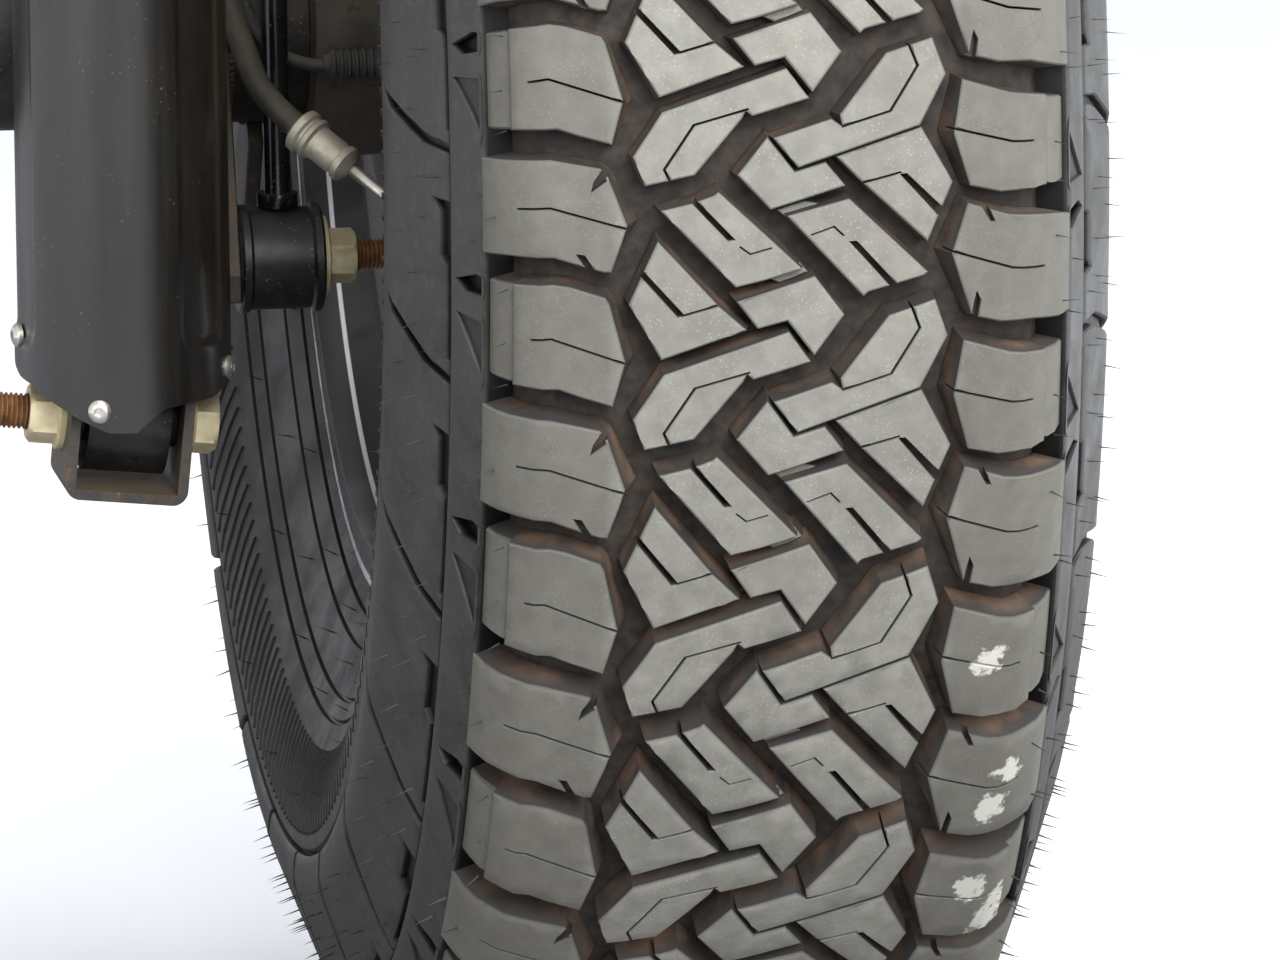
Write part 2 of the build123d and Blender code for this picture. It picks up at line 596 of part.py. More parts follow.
def guard_clamps():
    """Two bands that hold the guard to the damper's tube."""
    bands = []
    for low in (CLAMP_LOW, CLAMP_HIGH):
        band = guard_sector(GUARD_R - GUARD_WALL - FIT, SHOCK_TUBE_R + FIT, low, low + CLAMP_HEIGHT,
                            GUARD_HALF_ANGLE)
        bands.append(Pos(SHOCK_X, SHOCK_Y, SHOCK_BOLT_Z) * band)
    return Compound(bands)


def guard_screws():
    """Button-head screws through the guard into the clamp bands."""
    screws = []
    for low in (CLAMP_LOW, CLAMP_HIGH):
        for angle in (-80, -20, 80):
            head = Rot(0, 0, angle) * Pos(0, -GUARD_R, low + CLAMP_HEIGHT / 2)
            screws.append(Pos(SHOCK_X, SHOCK_Y, SHOCK_BOLT_Z) * head * Rot(90, 0, 0)
                          * (Pos(0, 0, 1.4) * Cylinder(4.6, 2.8)))
    return Compound(screws)


def link_bracket():
    """Plate on the axle tube that carries the stabiliser link's lower bolt."""
    x1 = LINK_X - LINK_EYE_LENGTH / 2
    x0 = x1 - LINK_PLATE
    reach = LINK_PLATE_W / 2
    outline = [(LINK_Y - reach, LINK_Z - 4), (LINK_Y - reach, LINK_Z - reach), (LINK_Y + 4, LINK_Z - reach),
               (reach * 0.4, -TUBE_R - 4), (0, -TUBE_R + 4), (-TUBE_R + 4, 0), (-TUBE_R - 6, -8)]
    plate = plate_yz(outline, x0, LINK_PLATE)
    plate -= rod_x(TUBE_R + FIT, x0 - 1, x1 + 1)
    return plate - rod_x(LINK_STUD_R + FIT, x0 - 1, x1 + 1, LINK_Y, LINK_Z)


def link_stud():
    """Bolt of the link's lower eye, its head inboard of the plate."""
    x1 = LINK_X - LINK_EYE_LENGTH / 2
    head = x1 - LINK_PLATE
    bolt = rod_x(LINK_STUD_R, head, LINK_X + LINK_EYE_LENGTH / 2 + LINK_STUD_OUT, LINK_Y, LINK_Z)
    return bolt + hex_x(LINK_NUT_FLATS, head - 8, head, LINK_Y, LINK_Z)


def link_nut():
    """Washer and hexagon nut outboard of the link's lower eye."""
    x0 = LINK_X + LINK_EYE_LENGTH / 2
    nut = rod_x(LINK_WASHER_R, x0, x0 + LINK_WASHER, LINK_Y, LINK_Z)
    nut += hex_x(LINK_NUT_FLATS, x0 + LINK_WASHER, x0 + LINK_WASHER + LINK_NUT, LINK_Y, LINK_Z)
    return nut - rod_x(LINK_STUD_R + FIT, x0 - 1, x0 + LINK_WASHER + LINK_NUT + 1, LINK_Y, LINK_Z)


def link_eye(z):
    """Moulded rubber bushing of the link, with flanged ends and its bolt hole."""
    x0, x1 = LINK_X - LINK_EYE_LENGTH / 2, LINK_X + LINK_EYE_LENGTH / 2
    eye = rod_x(LINK_EYE_R - 1.5, x0, x1, LINK_Y, z)
    for edge in (x0, x1 - 5):
        eye += rod_x(LINK_EYE_R, edge, edge + 5, LINK_Y, z)
    return eye - rod_x(LINK_STUD_R + FIT, x0 - 1, x1 + 1, LINK_Y, z)


def link_rod():
    """Round rod between the link's two eyes."""
    z0 = LINK_Z + LINK_EYE_R - 1.5
    z1 = LINK_Z + LINK_LENGTH - LINK_EYE_R + 1.5
    rod = rod_z(LINK_ROD_R, z0 + 0.5, z1 - 0.5, LINK_X, LINK_Y)
    rod += rod_z(LINK_ROD_R + 3, z0 + 0.5, z0 + 6, LINK_X, LINK_Y)
    return rod + rod_z(LINK_ROD_R + 3, z1 - 6, z1 - 0.5, LINK_X, LINK_Y)


def arm_bracket():
    """Two plates under the axle tube, for the lower control arm's bolt."""
    plates = []
    for side in (-1, 1):
        x0 = ARM_BRACKET_X + side * (ARM_BRACKET_GAP + ARM_BRACKET_PLATE) / 2 - ARM_BRACKET_PLATE / 2
        outline = [(TUBE_R + 6, 6), (TUBE_R - 4, 6), (0, -TUBE_R + 4), (-8, -TUBE_R - 8),
                   (ARM_BOLT_Y - ARM_EYE_R, ARM_BOLT_Z - ARM_EYE_R),
                   (ARM_BOLT_Y + ARM_EYE_R * 0.5, ARM_BOLT_Z - ARM_EYE_R),
                   (ARM_BOLT_Y + ARM_EYE_R, ARM_BOLT_Z - 8), (ARM_BOLT_Y + ARM_EYE_R, ARM_BOLT_Z + 18)]
        plate = plate_yz(outline, x0, ARM_BRACKET_PLATE)
        plate -= rod_x(TUBE_R + FIT, x0 - 1, x0 + ARM_BRACKET_PLATE + 1)
        plates.append(plate - rod_x(ARM_HOLE_R, x0 - 1, x0 + ARM_BRACKET_PLATE + 1, ARM_BOLT_Y,
                                    ARM_BOLT_Z))
    return Compound(plates)


def tab(x, z_under, y_end):
    """Bent strap on the axle tube's rear, with a flat tab at its top."""
    x0, x1 = x - STRAP_W / 2, x + STRAP_W / 2
    back = -TUBE_R - 8
    strap = block(x0, x1, back, back + STRAP, 10, z_under + STRAP)
    strap += block(x0, x1, back, -10, 10, 10 + STRAP)
    strap += block(x0, x1, y_end, back + STRAP, z_under, z_under + STRAP)
    return strap - rod_x(TUBE_R + FIT, x0 - 1, x1 + 1)


def brake_hose():
    """Flexible hose, held at its tab and at the crimped collar."""
    return bent_tube(HOSE_ROUTE, HOSE_R)


def hose_ferrule():
    """Crimped collar and ferrule between the hose and the steel line."""
    end = Vector(*HOSE_ROUTE[-1])
    along = Plane(origin=end, z_dir=end - Vector(*HOSE_ROUTE[-2]))
    ferrule = along * Pos(0, 0, COLLAR_LENGTH / 2) * Cylinder(COLLAR_R, COLLAR_LENGTH)
    return ferrule + along * Pos(0, 0, FERRULE_LENGTH / 2) * Cylinder(FERRULE_R, FERRULE_LENGTH)


def brake_line():
    """Steel line, on from the ferrule and then square into the caliper's inboard face."""
    hose_end = Vector(*HOSE_ROUTE[-1])
    along = (hose_end - Vector(*HOSE_ROUTE[-2])).normalized()
    start = hose_end + along * FERRULE_LENGTH
    end = Vector(*LINE_END)
    return bent_tube((start, start + along * 14, end - Vector(12, 0, 0), end), LINE_R)


def parking_boot():
    """Ribbed boot of the parking brake's cable, against the caliper's bracket."""
    x0, y, z = CABLE_ROUTE[0]
    return rod_x(BOOT_R, x0, x0 + BOOT_LENGTH, y, z)


nodes = {
    "tyre": tyre, "rim": rim, "valve_stem": valve_stem, "lug_nuts": lug_nuts,
    "centre_cap": centre_cap, "brake_disc": brake_disc, "hub_shaft": hub_shaft,
    "axle_tube": axle_tube, "bearing_housing": bearing_housing, "brake_shield": brake_shield,
    "caliper_bracket": caliper_bracket, "brake_caliper": caliper, "brake_pads": brake_pads,
    "shock_bracket": shock_bracket, "shock_bolt": shock_bolt, "shock_nut": shock_nut,
    "shock_bushing": shock_bushing, "shock_tube": shock_tube, "shock_rod": shock_rod,
    "shock_top_bushing": shock_top_bushing, "shock_guard": shock_guard,
    "guard_clamps": guard_clamps, "guard_screws": guard_screws,
    "link_bracket": link_bracket, "link_stud": link_stud, "link_nut": link_nut,
    "link_rod": link_rod, "control_arm_bracket": arm_bracket,
    "brake_hose": brake_hose, "hose_ferrule": hose_ferrule, "brake_line": brake_line,
    "parking_boot": parking_boot,
}
for name, make in nodes.items():
    print(name)
    save(name, make())
save("link_lower_eye", link_eye(LINK_Z))
save("link_upper_eye", link_eye(LINK_Z + LINK_LENGTH))
save("axle_brake_pipe", bent_tube(PIPE_ROUTE, LINE_R))
save("parking_cable", bent_tube(CABLE_ROUTE, CABLE_R))
save("hose_tab", tab(HOSE_ROUTE[0][0], HOSE_TAB_Z, HOSE_ROUTE[0][1] - 12))
save("cable_tab", tab(CABLE_ROUTE[-1][0], CABLE_TAB_Z, CABLE_ROUTE[-1][1] - 12))
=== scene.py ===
"""Looks of an off-road vehicle's right rear wheel end: its tyre, wheel, brake, damper and link.

Sizes are in millimetres in the tables and in metres in the meshes. X points outboard, Y forward,
Z up, and the wheel turns about X at WHEEL_X. The pieces are arrays worked out with numpy.
"""
import math

import bpy
import numpy as np
from mathutils import Matrix, Vector
from mathutils.geometry import delaunay_2d_cdt


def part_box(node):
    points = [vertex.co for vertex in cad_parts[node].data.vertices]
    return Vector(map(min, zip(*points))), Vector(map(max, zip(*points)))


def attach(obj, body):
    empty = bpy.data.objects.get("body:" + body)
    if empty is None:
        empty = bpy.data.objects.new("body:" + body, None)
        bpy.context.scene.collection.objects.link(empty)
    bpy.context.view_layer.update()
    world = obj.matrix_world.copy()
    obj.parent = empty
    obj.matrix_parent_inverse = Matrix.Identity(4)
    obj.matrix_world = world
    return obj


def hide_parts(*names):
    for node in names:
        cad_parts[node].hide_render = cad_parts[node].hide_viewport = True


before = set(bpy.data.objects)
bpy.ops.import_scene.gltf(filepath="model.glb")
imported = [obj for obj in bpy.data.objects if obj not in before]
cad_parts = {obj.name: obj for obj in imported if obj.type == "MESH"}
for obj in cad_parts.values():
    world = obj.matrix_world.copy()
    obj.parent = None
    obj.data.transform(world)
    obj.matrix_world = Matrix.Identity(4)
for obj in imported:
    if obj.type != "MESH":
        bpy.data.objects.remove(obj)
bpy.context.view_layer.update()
MM = 0.001

# The wheel's place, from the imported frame
tyre_low, tyre_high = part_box("tyre")
WHEEL_X = (tyre_low.x + tyre_high.x) / 2 / MM


# Finishes

def srgb(red, green, blue):
    """A colour as it is seen, from 0 to 255, as the linear numbers that a shader takes."""
    seen = np.array([red, green, blue]) / 255
    linear = np.where(seen <= 0.04045, seen / 12.92, ((seen + 0.055) / 1.055) ** 2.4)
    return (*linear.tolist(), 1.0)


class Finish:
    """A procedural material. Its methods add nodes and give back the socket that comes out."""

    def __init__(self, name, rough=0.5, metal=0.0, specular=0.5):
        self.made = bpy.data.materials.new(name)
        self.made.use_nodes = True
        self.tree = self.made.node_tree
        self.shader = self.tree.nodes["Principled BSDF"]
        self.put("Roughness", rough)
        self.put("Metallic", metal)
        self.put("Specular IOR Level", specular)
        self.place = self.tree.nodes.new("ShaderNodeTexCoord").outputs["Object"]

    def put(self, socket, value):
        """Set a socket of the shader to a number or colour, or link it to another socket."""
        self.join(self.shader.inputs[socket], value)

    def join(self, inlet, value):
        """Give an inlet a value, or a link if the value is a socket."""
        if isinstance(value, bpy.types.NodeSocket):
            self.tree.links.new(value, inlet)
        else:
            inlet.default_value = value

    def noise(self, size, detail=3.0, rough=0.55, stretch=(1, 1, 1)):
        """Soft blotches about size millimetres across, from 0 to 1, drawn out along an axis."""
        mapping = self.tree.nodes.new("ShaderNodeMapping")
        self.tree.links.new(self.place, mapping.inputs["Vector"])
        mapping.inputs["Scale"].default_value = [1 / s for s in stretch]
        node = self.tree.nodes.new("ShaderNodeTexNoise")
        self.tree.links.new(mapping.outputs[0], node.inputs["Vector"])
        node.inputs["Scale"].default_value = 1 / (size * MM)
        node.inputs["Detail"].default_value = detail
        node.inputs["Roughness"].default_value = rough
        return node.outputs["Fac"]

    def specks(self, size, reach):
        """Round specks in cells of size millimetres: 1 at each middle, 0 from reach on."""
        node = self.tree.nodes.new("ShaderNodeTexVoronoi")
        self.tree.links.new(self.place, node.inputs["Vector"])
        node.inputs["Scale"].default_value = 1 / (size * MM)
        return self.span(node.outputs["Distance"], reach, 0.0)

    def attribute(self, name):
        """A value stored on the mesh's points."""
        node = self.tree.nodes.new("ShaderNodeAttribute")
        node.attribute_name = name
        return node.outputs["Fac"]

    def span(self, value, low, high, to_low=0.0, to_high=1.0):
        """Carry the range low to high over to another range, held at its ends."""
        node = self.tree.nodes.new("ShaderNodeMapRange")
        self.join(node.inputs["Value"], value)
        inlets = ("From Min", "From Max", "To Min", "To Max")
        for name, number in zip(inlets, (low, high, to_low, to_high)):
            node.inputs[name].default_value = number
        return node.outputs["Result"]

    def band(self, value, low, high, rise, fall):
        """1 between low and high, over a short rise inside low and a short fall inside high."""
        start = self.span(value, low, low + rise)
        return self.times(start, self.span(value, high - fall, high, 1.0, 0.0))

    def maths(self, kind, first, second):
        """One sum of two values: ADD, SUBTRACT, MAXIMUM and the like."""
        node = self.tree.nodes.new("ShaderNodeMath")
        node.operation = kind
        self.join(node.inputs[0], first)
        self.join(node.inputs[1], second)
        return node.outputs[0]

    def times(self, first, second):
        """Two values multiplied."""
        return self.maths("MULTIPLY", first, second)

    def blend(self, share, under, over):
        """Mix two colours, given as sockets or as seen colours, by a share from 0 to 1."""
        node = self.tree.nodes.new("ShaderNodeMix")
        node.data_type = "RGBA"
        self.join(node.inputs[0], share)
        for inlet, colour in ((node.inputs[6], under), (node.inputs[7], over)):
            self.join(inlet, colour if isinstance(colour, bpy.types.NodeSocket) else srgb(*colour))
        return node.outputs[2]

    def axis(self, letter):
        """A coordinate of the place, in metres."""
        split = self.tree.nodes.new("ShaderNodeSeparateXYZ")
        self.tree.links.new(self.place, split.inputs[0])
        return split.outputs[letter]

    def radius(self):
        """Distance from the wheel's axis, in metres."""
        squares = [self.times(self.axis(k), self.axis(k)) for k in "YZ"]
        return self.maths("SQRT", self.maths("ADD", *squares), 0.0)

    def near(self, at, reach):
        """1 at a place given in millimetres, falling to 0 at reach."""
        node = self.tree.nodes.new("ShaderNodeVectorMath")
        node.operation = "DISTANCE"
        self.tree.links.new(self.place, node.inputs[0])
        node.inputs[1].default_value = [c * MM for c in at]
        return self.span(node.outputs["Value"], 0.0, reach * MM, 1.0, 0.0)

    def up(self):
        """How far the surface faces up, from 0 below the horizontal to 1."""
        geometry = self.tree.nodes.new("ShaderNodeNewGeometry")
        split = self.tree.nodes.new("ShaderNodeSeparateXYZ")
        self.tree.links.new(geometry.outputs["Normal"], split.inputs[0])
        return self.span(split.outputs["Z"], 0.0, 1.0)

    def bump(self, height, depth):
        """Raise the surface by depth millimetres where height is 1."""
        node = self.tree.nodes.new("ShaderNodeBump")
        node.inputs["Distance"].default_value = depth * MM
        self.join(node.inputs["Height"], height)
        self.put("Normal", node.outputs[0])


# Splashes of mud, as (outboard of the wheel's middle, forward, up, reach) in millimetres
MUD = ((82, -390, -191, 18), (89, -350, -256, 20), (96, -360, -242, 20), (84, -320, -293, 20),
       (99, -312, -302, 20), (94, -303, -311, 20))
# Distances in metres: how far off the middle the painted shade on the shoulders' tops begins and
# where it is full, the radii between which painted shade darkens the sidewall, the painted highlight
# ring on the flange's face, the painted highlight line inside the inboard flange and the radius that
# it stays under, where the inboard half ends, and the disc's hat
SHOULDER_SHADE = (0.060, 0.068)
SIDEWALL_SHADE = (0.335, 0.3)
FLANGE_HIGHLIGHT = (0.2262, 0.2305)
INNER_HIGHLIGHT = (0.3366, 0.3388)
INNER_HIGHLIGHT_R = 0.2155
INBOARD_END = 0.36
HAT_R = 0.1085


def tread_rubber():
    """Worn rubber: grey scuffed tops with fine white specks of painted glint and painted shade towards
    both shoulders, dark walls, brown dust in the grooves and a few splashes of dried mud on one shoulder."""
    f = Finish("tread_rubber", rough=0.62, specular=0.3)
    depth = f.attribute("depth")
    mottle = f.noise(9, 4)
    top = f.blend(f.span(mottle, 0.35, 0.65), (128, 127, 120), (143, 142, 134))
    broad = f.span(f.noise(60, 3), 0.4, 0.65)
    top = f.blend(f.times(broad, 0.3), top, (108, 107, 102))
    # painted glints: fine near-white specks on the tops stand in for sparkle of light on the rubber
    fine = f.times(f.specks(1.5, 0.3), f.span(f.noise(14, 3), 0.4, 0.62))
    top = f.blend(f.times(fine, 0.75), top, (186, 185, 176))
    patch = f.span(f.noise(3.2, 5, 0.7), 0.56, 0.72)
    top = f.blend(f.times(patch, 0.3), top, (158, 156, 148))
    # painted shade: the tops darken by about half towards both shoulders
    off_middle = f.maths("ABSOLUTE", f.maths("SUBTRACT", f.axis("X"), WHEEL_X * MM), 0.0)
    top = f.blend(f.span(off_middle, *SHOULDER_SHADE, 0.0, 0.52), top, (78, 76, 69))
    splash = 0.0
    for x, y, z, reach in MUD:
        splash = f.maths("MAXIMUM", splash, f.near((WHEEL_X + x, y, z), reach))
    splash = f.span(f.times(splash, f.noise(7, 5, 0.7)), 0.3, 0.36)
    wall = f.blend(f.span(depth, 0.2, 0.7), (56, 55, 54), (66, 59, 53))
    dust = f.span(f.noise(30, 4, 0.6), 0.46, 0.66)
    dust = f.times(dust, f.span(depth, 0.1, 0.6))
    wall = f.blend(dust, wall, (112, 91, 76))
    floor = f.blend(f.span(f.noise(6, 4), 0.35, 0.65), (44, 42, 41), (68, 61, 55))
    below = f.blend(f.span(depth, 0.9, 0.99), wall, floor)
    colour = f.blend(f.span(depth, 0.0, 0.09), top, below)
    f.put("Base Color", f.blend(splash, colour, (208, 207, 198)))
    f.put("Roughness", f.span(depth, 0.0, 0.1, 0.66, 0.8))
    f.bump(f.noise(1.1, 4, 0.7), 0.12)
    return f.made


def side_rubber():
    """Smoother dark rubber of the shoulder's side and the sidewall, greyed by fine dust, with painted shade
    near the rim and in its recesses.
    """
    f = Finish("side_rubber", rough=0.5, specular=0.28)
    dust = f.span(f.noise(26, 5, 0.6), 0.38, 0.66)
    base = f.blend(dust, (48, 48, 47), (70, 70, 68))
    streak = f.span(f.noise(5, 4, 0.65), 0.5, 0.75)
    base = f.blend(f.times(streak, 0.35), base, (92, 91, 86))
    # painted shade: the sidewall turns near black towards the rim, where it faces inboard
    inner = f.span(f.radius(), *SIDEWALL_SHADE)
    base = f.blend(f.times(inner, 0.85), base, (18, 18, 18))
    # painted shade: rings, troughs and recesses go near black with their depth
    low = f.span(f.attribute("depth"), 0.02, 0.2)
    f.put("Base Color", f.blend(low, base, (14, 14, 14)))
    f.put("Roughness", f.span(dust, 0, 1, 0.4, 0.62))
    f.bump(f.noise(1.6, 4, 0.65), 0.1)
    return f.made


def dusty(name, base, second, dust, rust=0.0, rough=0.5, metal=0.0, grain=1.4, depth=0.12, size=24):
    """A finish in two blotched shades under a film of dust, thickest where it faces up, with grit
    and rust over a share of it."""
    f = Finish(name, rough=rough, metal=metal)
    colour = f.blend(f.span(f.noise(size, 4, 0.6), 0.35, 0.65), base, second)
    film = f.span(f.noise(size * 0.6, 5, 0.65), 0.45, 0.75)
    film = f.maths("ADD", f.times(film, 0.35), f.times(f.up(), 0.4))
    colour = f.blend(film, colour, dust)
    grit = f.times(f.specks(2.6, 0.22), f.span(f.noise(17, 3), 0.5, 0.6))
    colour = f.blend(f.times(grit, 0.6), colour, (150, 140, 122))
    if rust:
        red = f.span(f.noise(8, 5, 0.7), 0.72 - 0.25 * rust, 0.8 - 0.25 * rust)
        rusty = f.blend(f.span(f.noise(2.5, 3), 0.4, 0.6), (70, 50, 37), (112, 78, 52))
        colour = f.blend(red, colour, rusty)
    f.put("Base Color", colour)
    f.put("Roughness", f.span(film, 0.0, 0.6, rough, min(0.9, rough + 0.25)))
    f.bump(f.noise(grain, 4, 0.65), depth)
    return f.made


# Plain finishes, as (name, base, second shade, dust, and what differs from the usual)
FINISHES = {
    "paint": ("axle_paint", (30, 30, 30), (40, 39, 38), (92, 84, 74), dict(rust=0.35, rough=0.42)),
    "edge": ("bracket_paint", (38, 36, 34), (58, 52, 45), (128, 108, 80), dict(rust=0.55)),
    "weld": ("weld_bead", (74, 58, 44), (104, 76, 50), (120, 98, 76), dict(rust=0.9, rough=0.65, size=6)),
    "iron": ("cast_iron", (62, 58, 54), (84, 77, 69), (120, 108, 92),
             dict(rust=0.5, rough=0.6, metal=0.2, grain=0.8, depth=0.3)),
    "zinc": ("yellow_zinc", (206, 192, 148), (226, 216, 182), (200, 184, 148),
             dict(rust=0.12, rough=0.4, metal=0.35, size=7, grain=0.6, depth=0.05)),
    "thread": ("rusty_thread", (104, 68, 40), (140, 100, 62), (126, 96, 66),
               dict(rust=0.6, rough=0.55, metal=0.35, size=5)),
    "steel": ("bare_steel", (150, 147, 134), (178, 174, 160), (150, 138, 112),
              dict(rough=0.42, metal=0.45, size=6, grain=0.7, depth=0.08)),
    "line": ("steel_line", (158, 156, 148), (186, 184, 176), (140, 130, 112),
             dict(rough=0.3, metal=0.8, size=9, depth=0.03)),
    "bush": ("black_rubber", (17, 17, 19), (24, 24, 26), (58, 54, 49),
             dict(rough=0.34, size=14, depth=0.05)),
    "hose": ("hose_rubber", (32, 31, 28), (46, 43, 37), (86, 79, 64), dict(rough=0.6, size=12)),
    "rod": ("black_rod", (14, 14, 15), (18, 18, 19), (60, 54, 48), dict(rough=0.16, size=30, depth=0.02)),
    "boot": ("boot_rubber", (46, 46, 45), (62, 61, 59), (98, 94, 86), dict(rough=0.62, size=9)),
    "shield": ("shield_sheet", (46, 44, 42), (62, 58, 54), (104, 94, 80), dict(rust=0.4, metal=0.3)),
    "chrome": ("chrome_rod", (196, 197, 200), (210, 211, 214), (140, 134, 124),
               dict(rough=0.12, metal=1.0, depth=0.01)),
    "nut": ("black_chrome", (40, 40, 42), (52, 52, 54), (90, 86, 80), dict(rough=0.2, metal=0.9)),
    "screw": ("screw_steel", (206, 203, 196), (222, 220, 214), (168, 158, 140),
              dict(rough=0.25, metal=0.85, size=4, depth=0.03)),
}


def guard_coat():
    """Satin powder coat, streaked down by dust, with brown road dirt on its outboard side."""
    f = Finish("guard_coat", rough=0.4, specular=0.5)
    f.put("Coat Weight", 0.35)
    f.put("Coat Roughness", 0.22)
    streak = f.span(f.noise(7, 4, 0.6, (1, 1, 14)), 0.35, 0.7)
    colour = f.blend(streak, (17, 17, 16), (25, 25, 23))
    dirt = f.times(f.attribute("depth"), f.span(f.noise(9, 5, 0.65, (1, 1, 6)), 0.3, 0.65))
    colour = f.blend(dirt, colour, (82, 66, 50))
    grit = f.times(f.specks(3.0, 0.16), f.span(f.noise(20, 3), 0.52, 0.62))
    f.put("Base Color", f.blend(f.times(grit, 0.7), colour, (136, 128, 110)))
    f.put("Roughness", f.span(streak, 0, 1, 0.36, 0.5))
    f.bump(f.noise(0.9, 3, 0.6), 0.05)
    return f.made


def wheel_black():
    """Gloss black wheel with a little dust, and painted highlights: a bright ring on the inboard flange's
    face and a second bright line just inside it. On the outboard flange they are faint."""
    f = Finish("gloss_black_alloy", rough=0.25, specular=0.35)
    radius = f.radius()
    dust = f.times(f.span(f.noise(30, 5, 0.6), 0.42, 0.75), 0.3)
    colour = f.blend(dust, (8, 8, 9), (40, 37, 33))
    across = f.axis("X")
    # painted highlight: a bright ring on the flange's face and a bright line inside the inboard flange, half
    # metallic, faint beyond the inboard half
    painted_highlight = f.band(radius, *FLANGE_HIGHLIGHT, 0.0006, 0.0005)
    line = f.band(across, *INNER_HIGHLIGHT, 0.0004, 0.0004)
    line = f.times(line, f.span(radius, INNER_HIGHLIGHT_R, INNER_HIGHLIGHT_R + 0.0005, 0.8, 0.0))
    painted_highlight = f.maths("MAXIMUM", painted_highlight, line)
    painted_highlight = f.times(painted_highlight, f.span(across, INBOARD_END, INBOARD_END + 0.04, 1.0, 0.12))
    f.put("Base Color", f.blend(painted_highlight, colour, (226, 228, 230)))
    barrel = f.span(radius, 0.222, 0.205, 0.2, 0.5)
    f.put("Roughness", f.maths("MAXIMUM", f.span(dust, 0.0, 0.3, 0.22, 0.5), barrel))
    f.put("Metallic", f.times(painted_highlight, 0.5))
    f.bump(f.noise(6, 3), 0.03)
    return f.made


def disc_face():
    """Brake disc: faces ground in rings by the pads, and a rusted hat inside them."""
    f = Finish("disc_steel", rough=0.35, metal=0.85)
    radius = f.radius()
    rings = f.tree.nodes.new("ShaderNodeTexNoise")
    rings.noise_dimensions = "1D"
    f.tree.links.new(radius, rings.inputs["W"])
    rings.inputs["Scale"].default_value = 900
    rings.inputs["Detail"].default_value = 4
    ground = f.blend(rings.outputs["Fac"], (120, 118, 114), (158, 156, 152))
    rust = f.blend(f.span(f.noise(6, 5, 0.7), 0.4, 0.62), (78, 56, 42), (118, 84, 58))
    hat = f.span(radius, HAT_R, HAT_R + 0.002, 1.0, 0.0)
    f.put("Base Color", f.blend(hat, ground, rust))
    f.put("Metallic", f.maths("SUBTRACT", 0.85, f.times(hat, 0.75)))
    f.put("Roughness", f.span(hat, 0, 1, 0.32, 0.75))
    f.bump(rings.outputs["Fac"], 0.04)
    return f.made


# Meshes

DOUBLED = 0.004            # points less than this apart, in millimetres, become one


def added(name, data):
    """A mesh, curve, camera or lamp put into the scene as an object."""
    made = bpy.data.objects.new(name, data)
    bpy.context.scene.collection.objects.link(made)
    return made


def piece(name, body, points, faces, material, depth=None, sharp=35.0):
    """A mesh in the wheel end's frame from points in millimetres and rows of corner numbers.

    Doubled points are merged, edges sharper than the given angle stay sharp, and depth is a value
    from 0 at the face to 1 at a groove's floor, which the material reads.
    """
    cells = np.round(points / DOUBLED).astype(np.int64)
    unused, first, number = np.unique(cells, axis=0, return_index=True, return_inverse=True)
    number = number.ravel()
    corners = []
    for rows in faces:
        rows = number[rows]
        doubled = rows == np.roll(rows, 1, axis=1)
        corners.append(rows[~doubled.any(axis=1)])
        if rows.shape[1] == 4:
            once = doubled.sum(axis=1) == 1
            corners.append(rows[once][~doubled[once]].reshape(-1, 3))
    mesh = bpy.data.meshes.new(name)
    sizes = np.concatenate([np.full(len(rows), rows.shape[1]) for rows in corners])
    mesh.vertices.add(len(first))
    mesh.vertices.foreach_set("co", (points[first] * MM).astype(np.float32).ravel())
    loops = np.concatenate([rows.ravel() for rows in corners])
    mesh.loops.add(len(loops))
    mesh.loops.foreach_set("vertex_index", loops.astype(np.int32))
    mesh.polygons.add(len(sizes))
    starts = np.concatenate([[0], np.cumsum(sizes)[:-1]])
    mesh.polygons.foreach_set("loop_start", starts.astype(np.int32))
    mesh.update(calc_edges=True)
    mesh.validate()
    mesh.shade_smooth()
    mesh.set_sharp_from_angle(angle=math.radians(sharp))
    if depth is not None:
        stored = mesh.attributes.new("depth", "FLOAT", "POINT")
        stored.data.foreach_set("value", depth[first].astype(np.float32))
    mesh.materials.append(material)
    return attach(added(name, mesh), body)


def quads(rows, columns, close_rows=False, close_columns=False):
    """Corner numbers of the squares of a grid of points, row by row, joined round where closed."""
    r = np.arange(rows if close_rows else rows - 1)
    c = np.arange(columns if close_columns else columns - 1)
    r0, c0 = [a.ravel() for a in np.meshgrid(r, c, indexing="ij")]
    r1, c1 = (r0 + 1) % rows, (c0 + 1) % columns
    return np.stack([r0 * columns + c0, r1 * columns + c0, r1 * columns + c1, r0 * columns + c1], axis=1)


# The tyre's surface: across is millimetres along the profile from the middle, outboard positive,
# around counts PITCH for each repeat, and height is millimetres out from the mould's face.

REPEATS = 24
PITCH = 126.2
PITCH_WAVES = 4            # the repeats grow and shrink this many times in a turn
PITCH_CHANGE = 0.143
PITCH_PHASE = 1.385
START = -0.0251            # the first repeat's angle below the rearmost point
GROOVE_DEPTH = 12.5
SIDE_RELIEF = 3.2

# Half of the tyre's profile, as (across, half width, radius), from the middle to the rim's flange
PROFILE = ((0, 0, 442), (50, 48.9, 440), (86, 84.1, 436.2), (94, 92, 435), (105.5, 102, 426.5),
           (111, 106.8, 421.5), (134, 121, 388), (176, 138, 345), (186, 138.3, 335), (206, 136, 315),
           (226, 130, 296), (244, 122.5, 279.5), (254, 117.5, 270.5), (276, 110, 250.5),
           (288, 104.5, 240), (297, 100, 233.4))
# and of its inside, as (half width, radius), from the bead to the middle
LINER = ((95.2, 232.6), (95, 219), (76, 219), (87, 246), (118, 292), (127, 342), (93, 390), (0, 415))


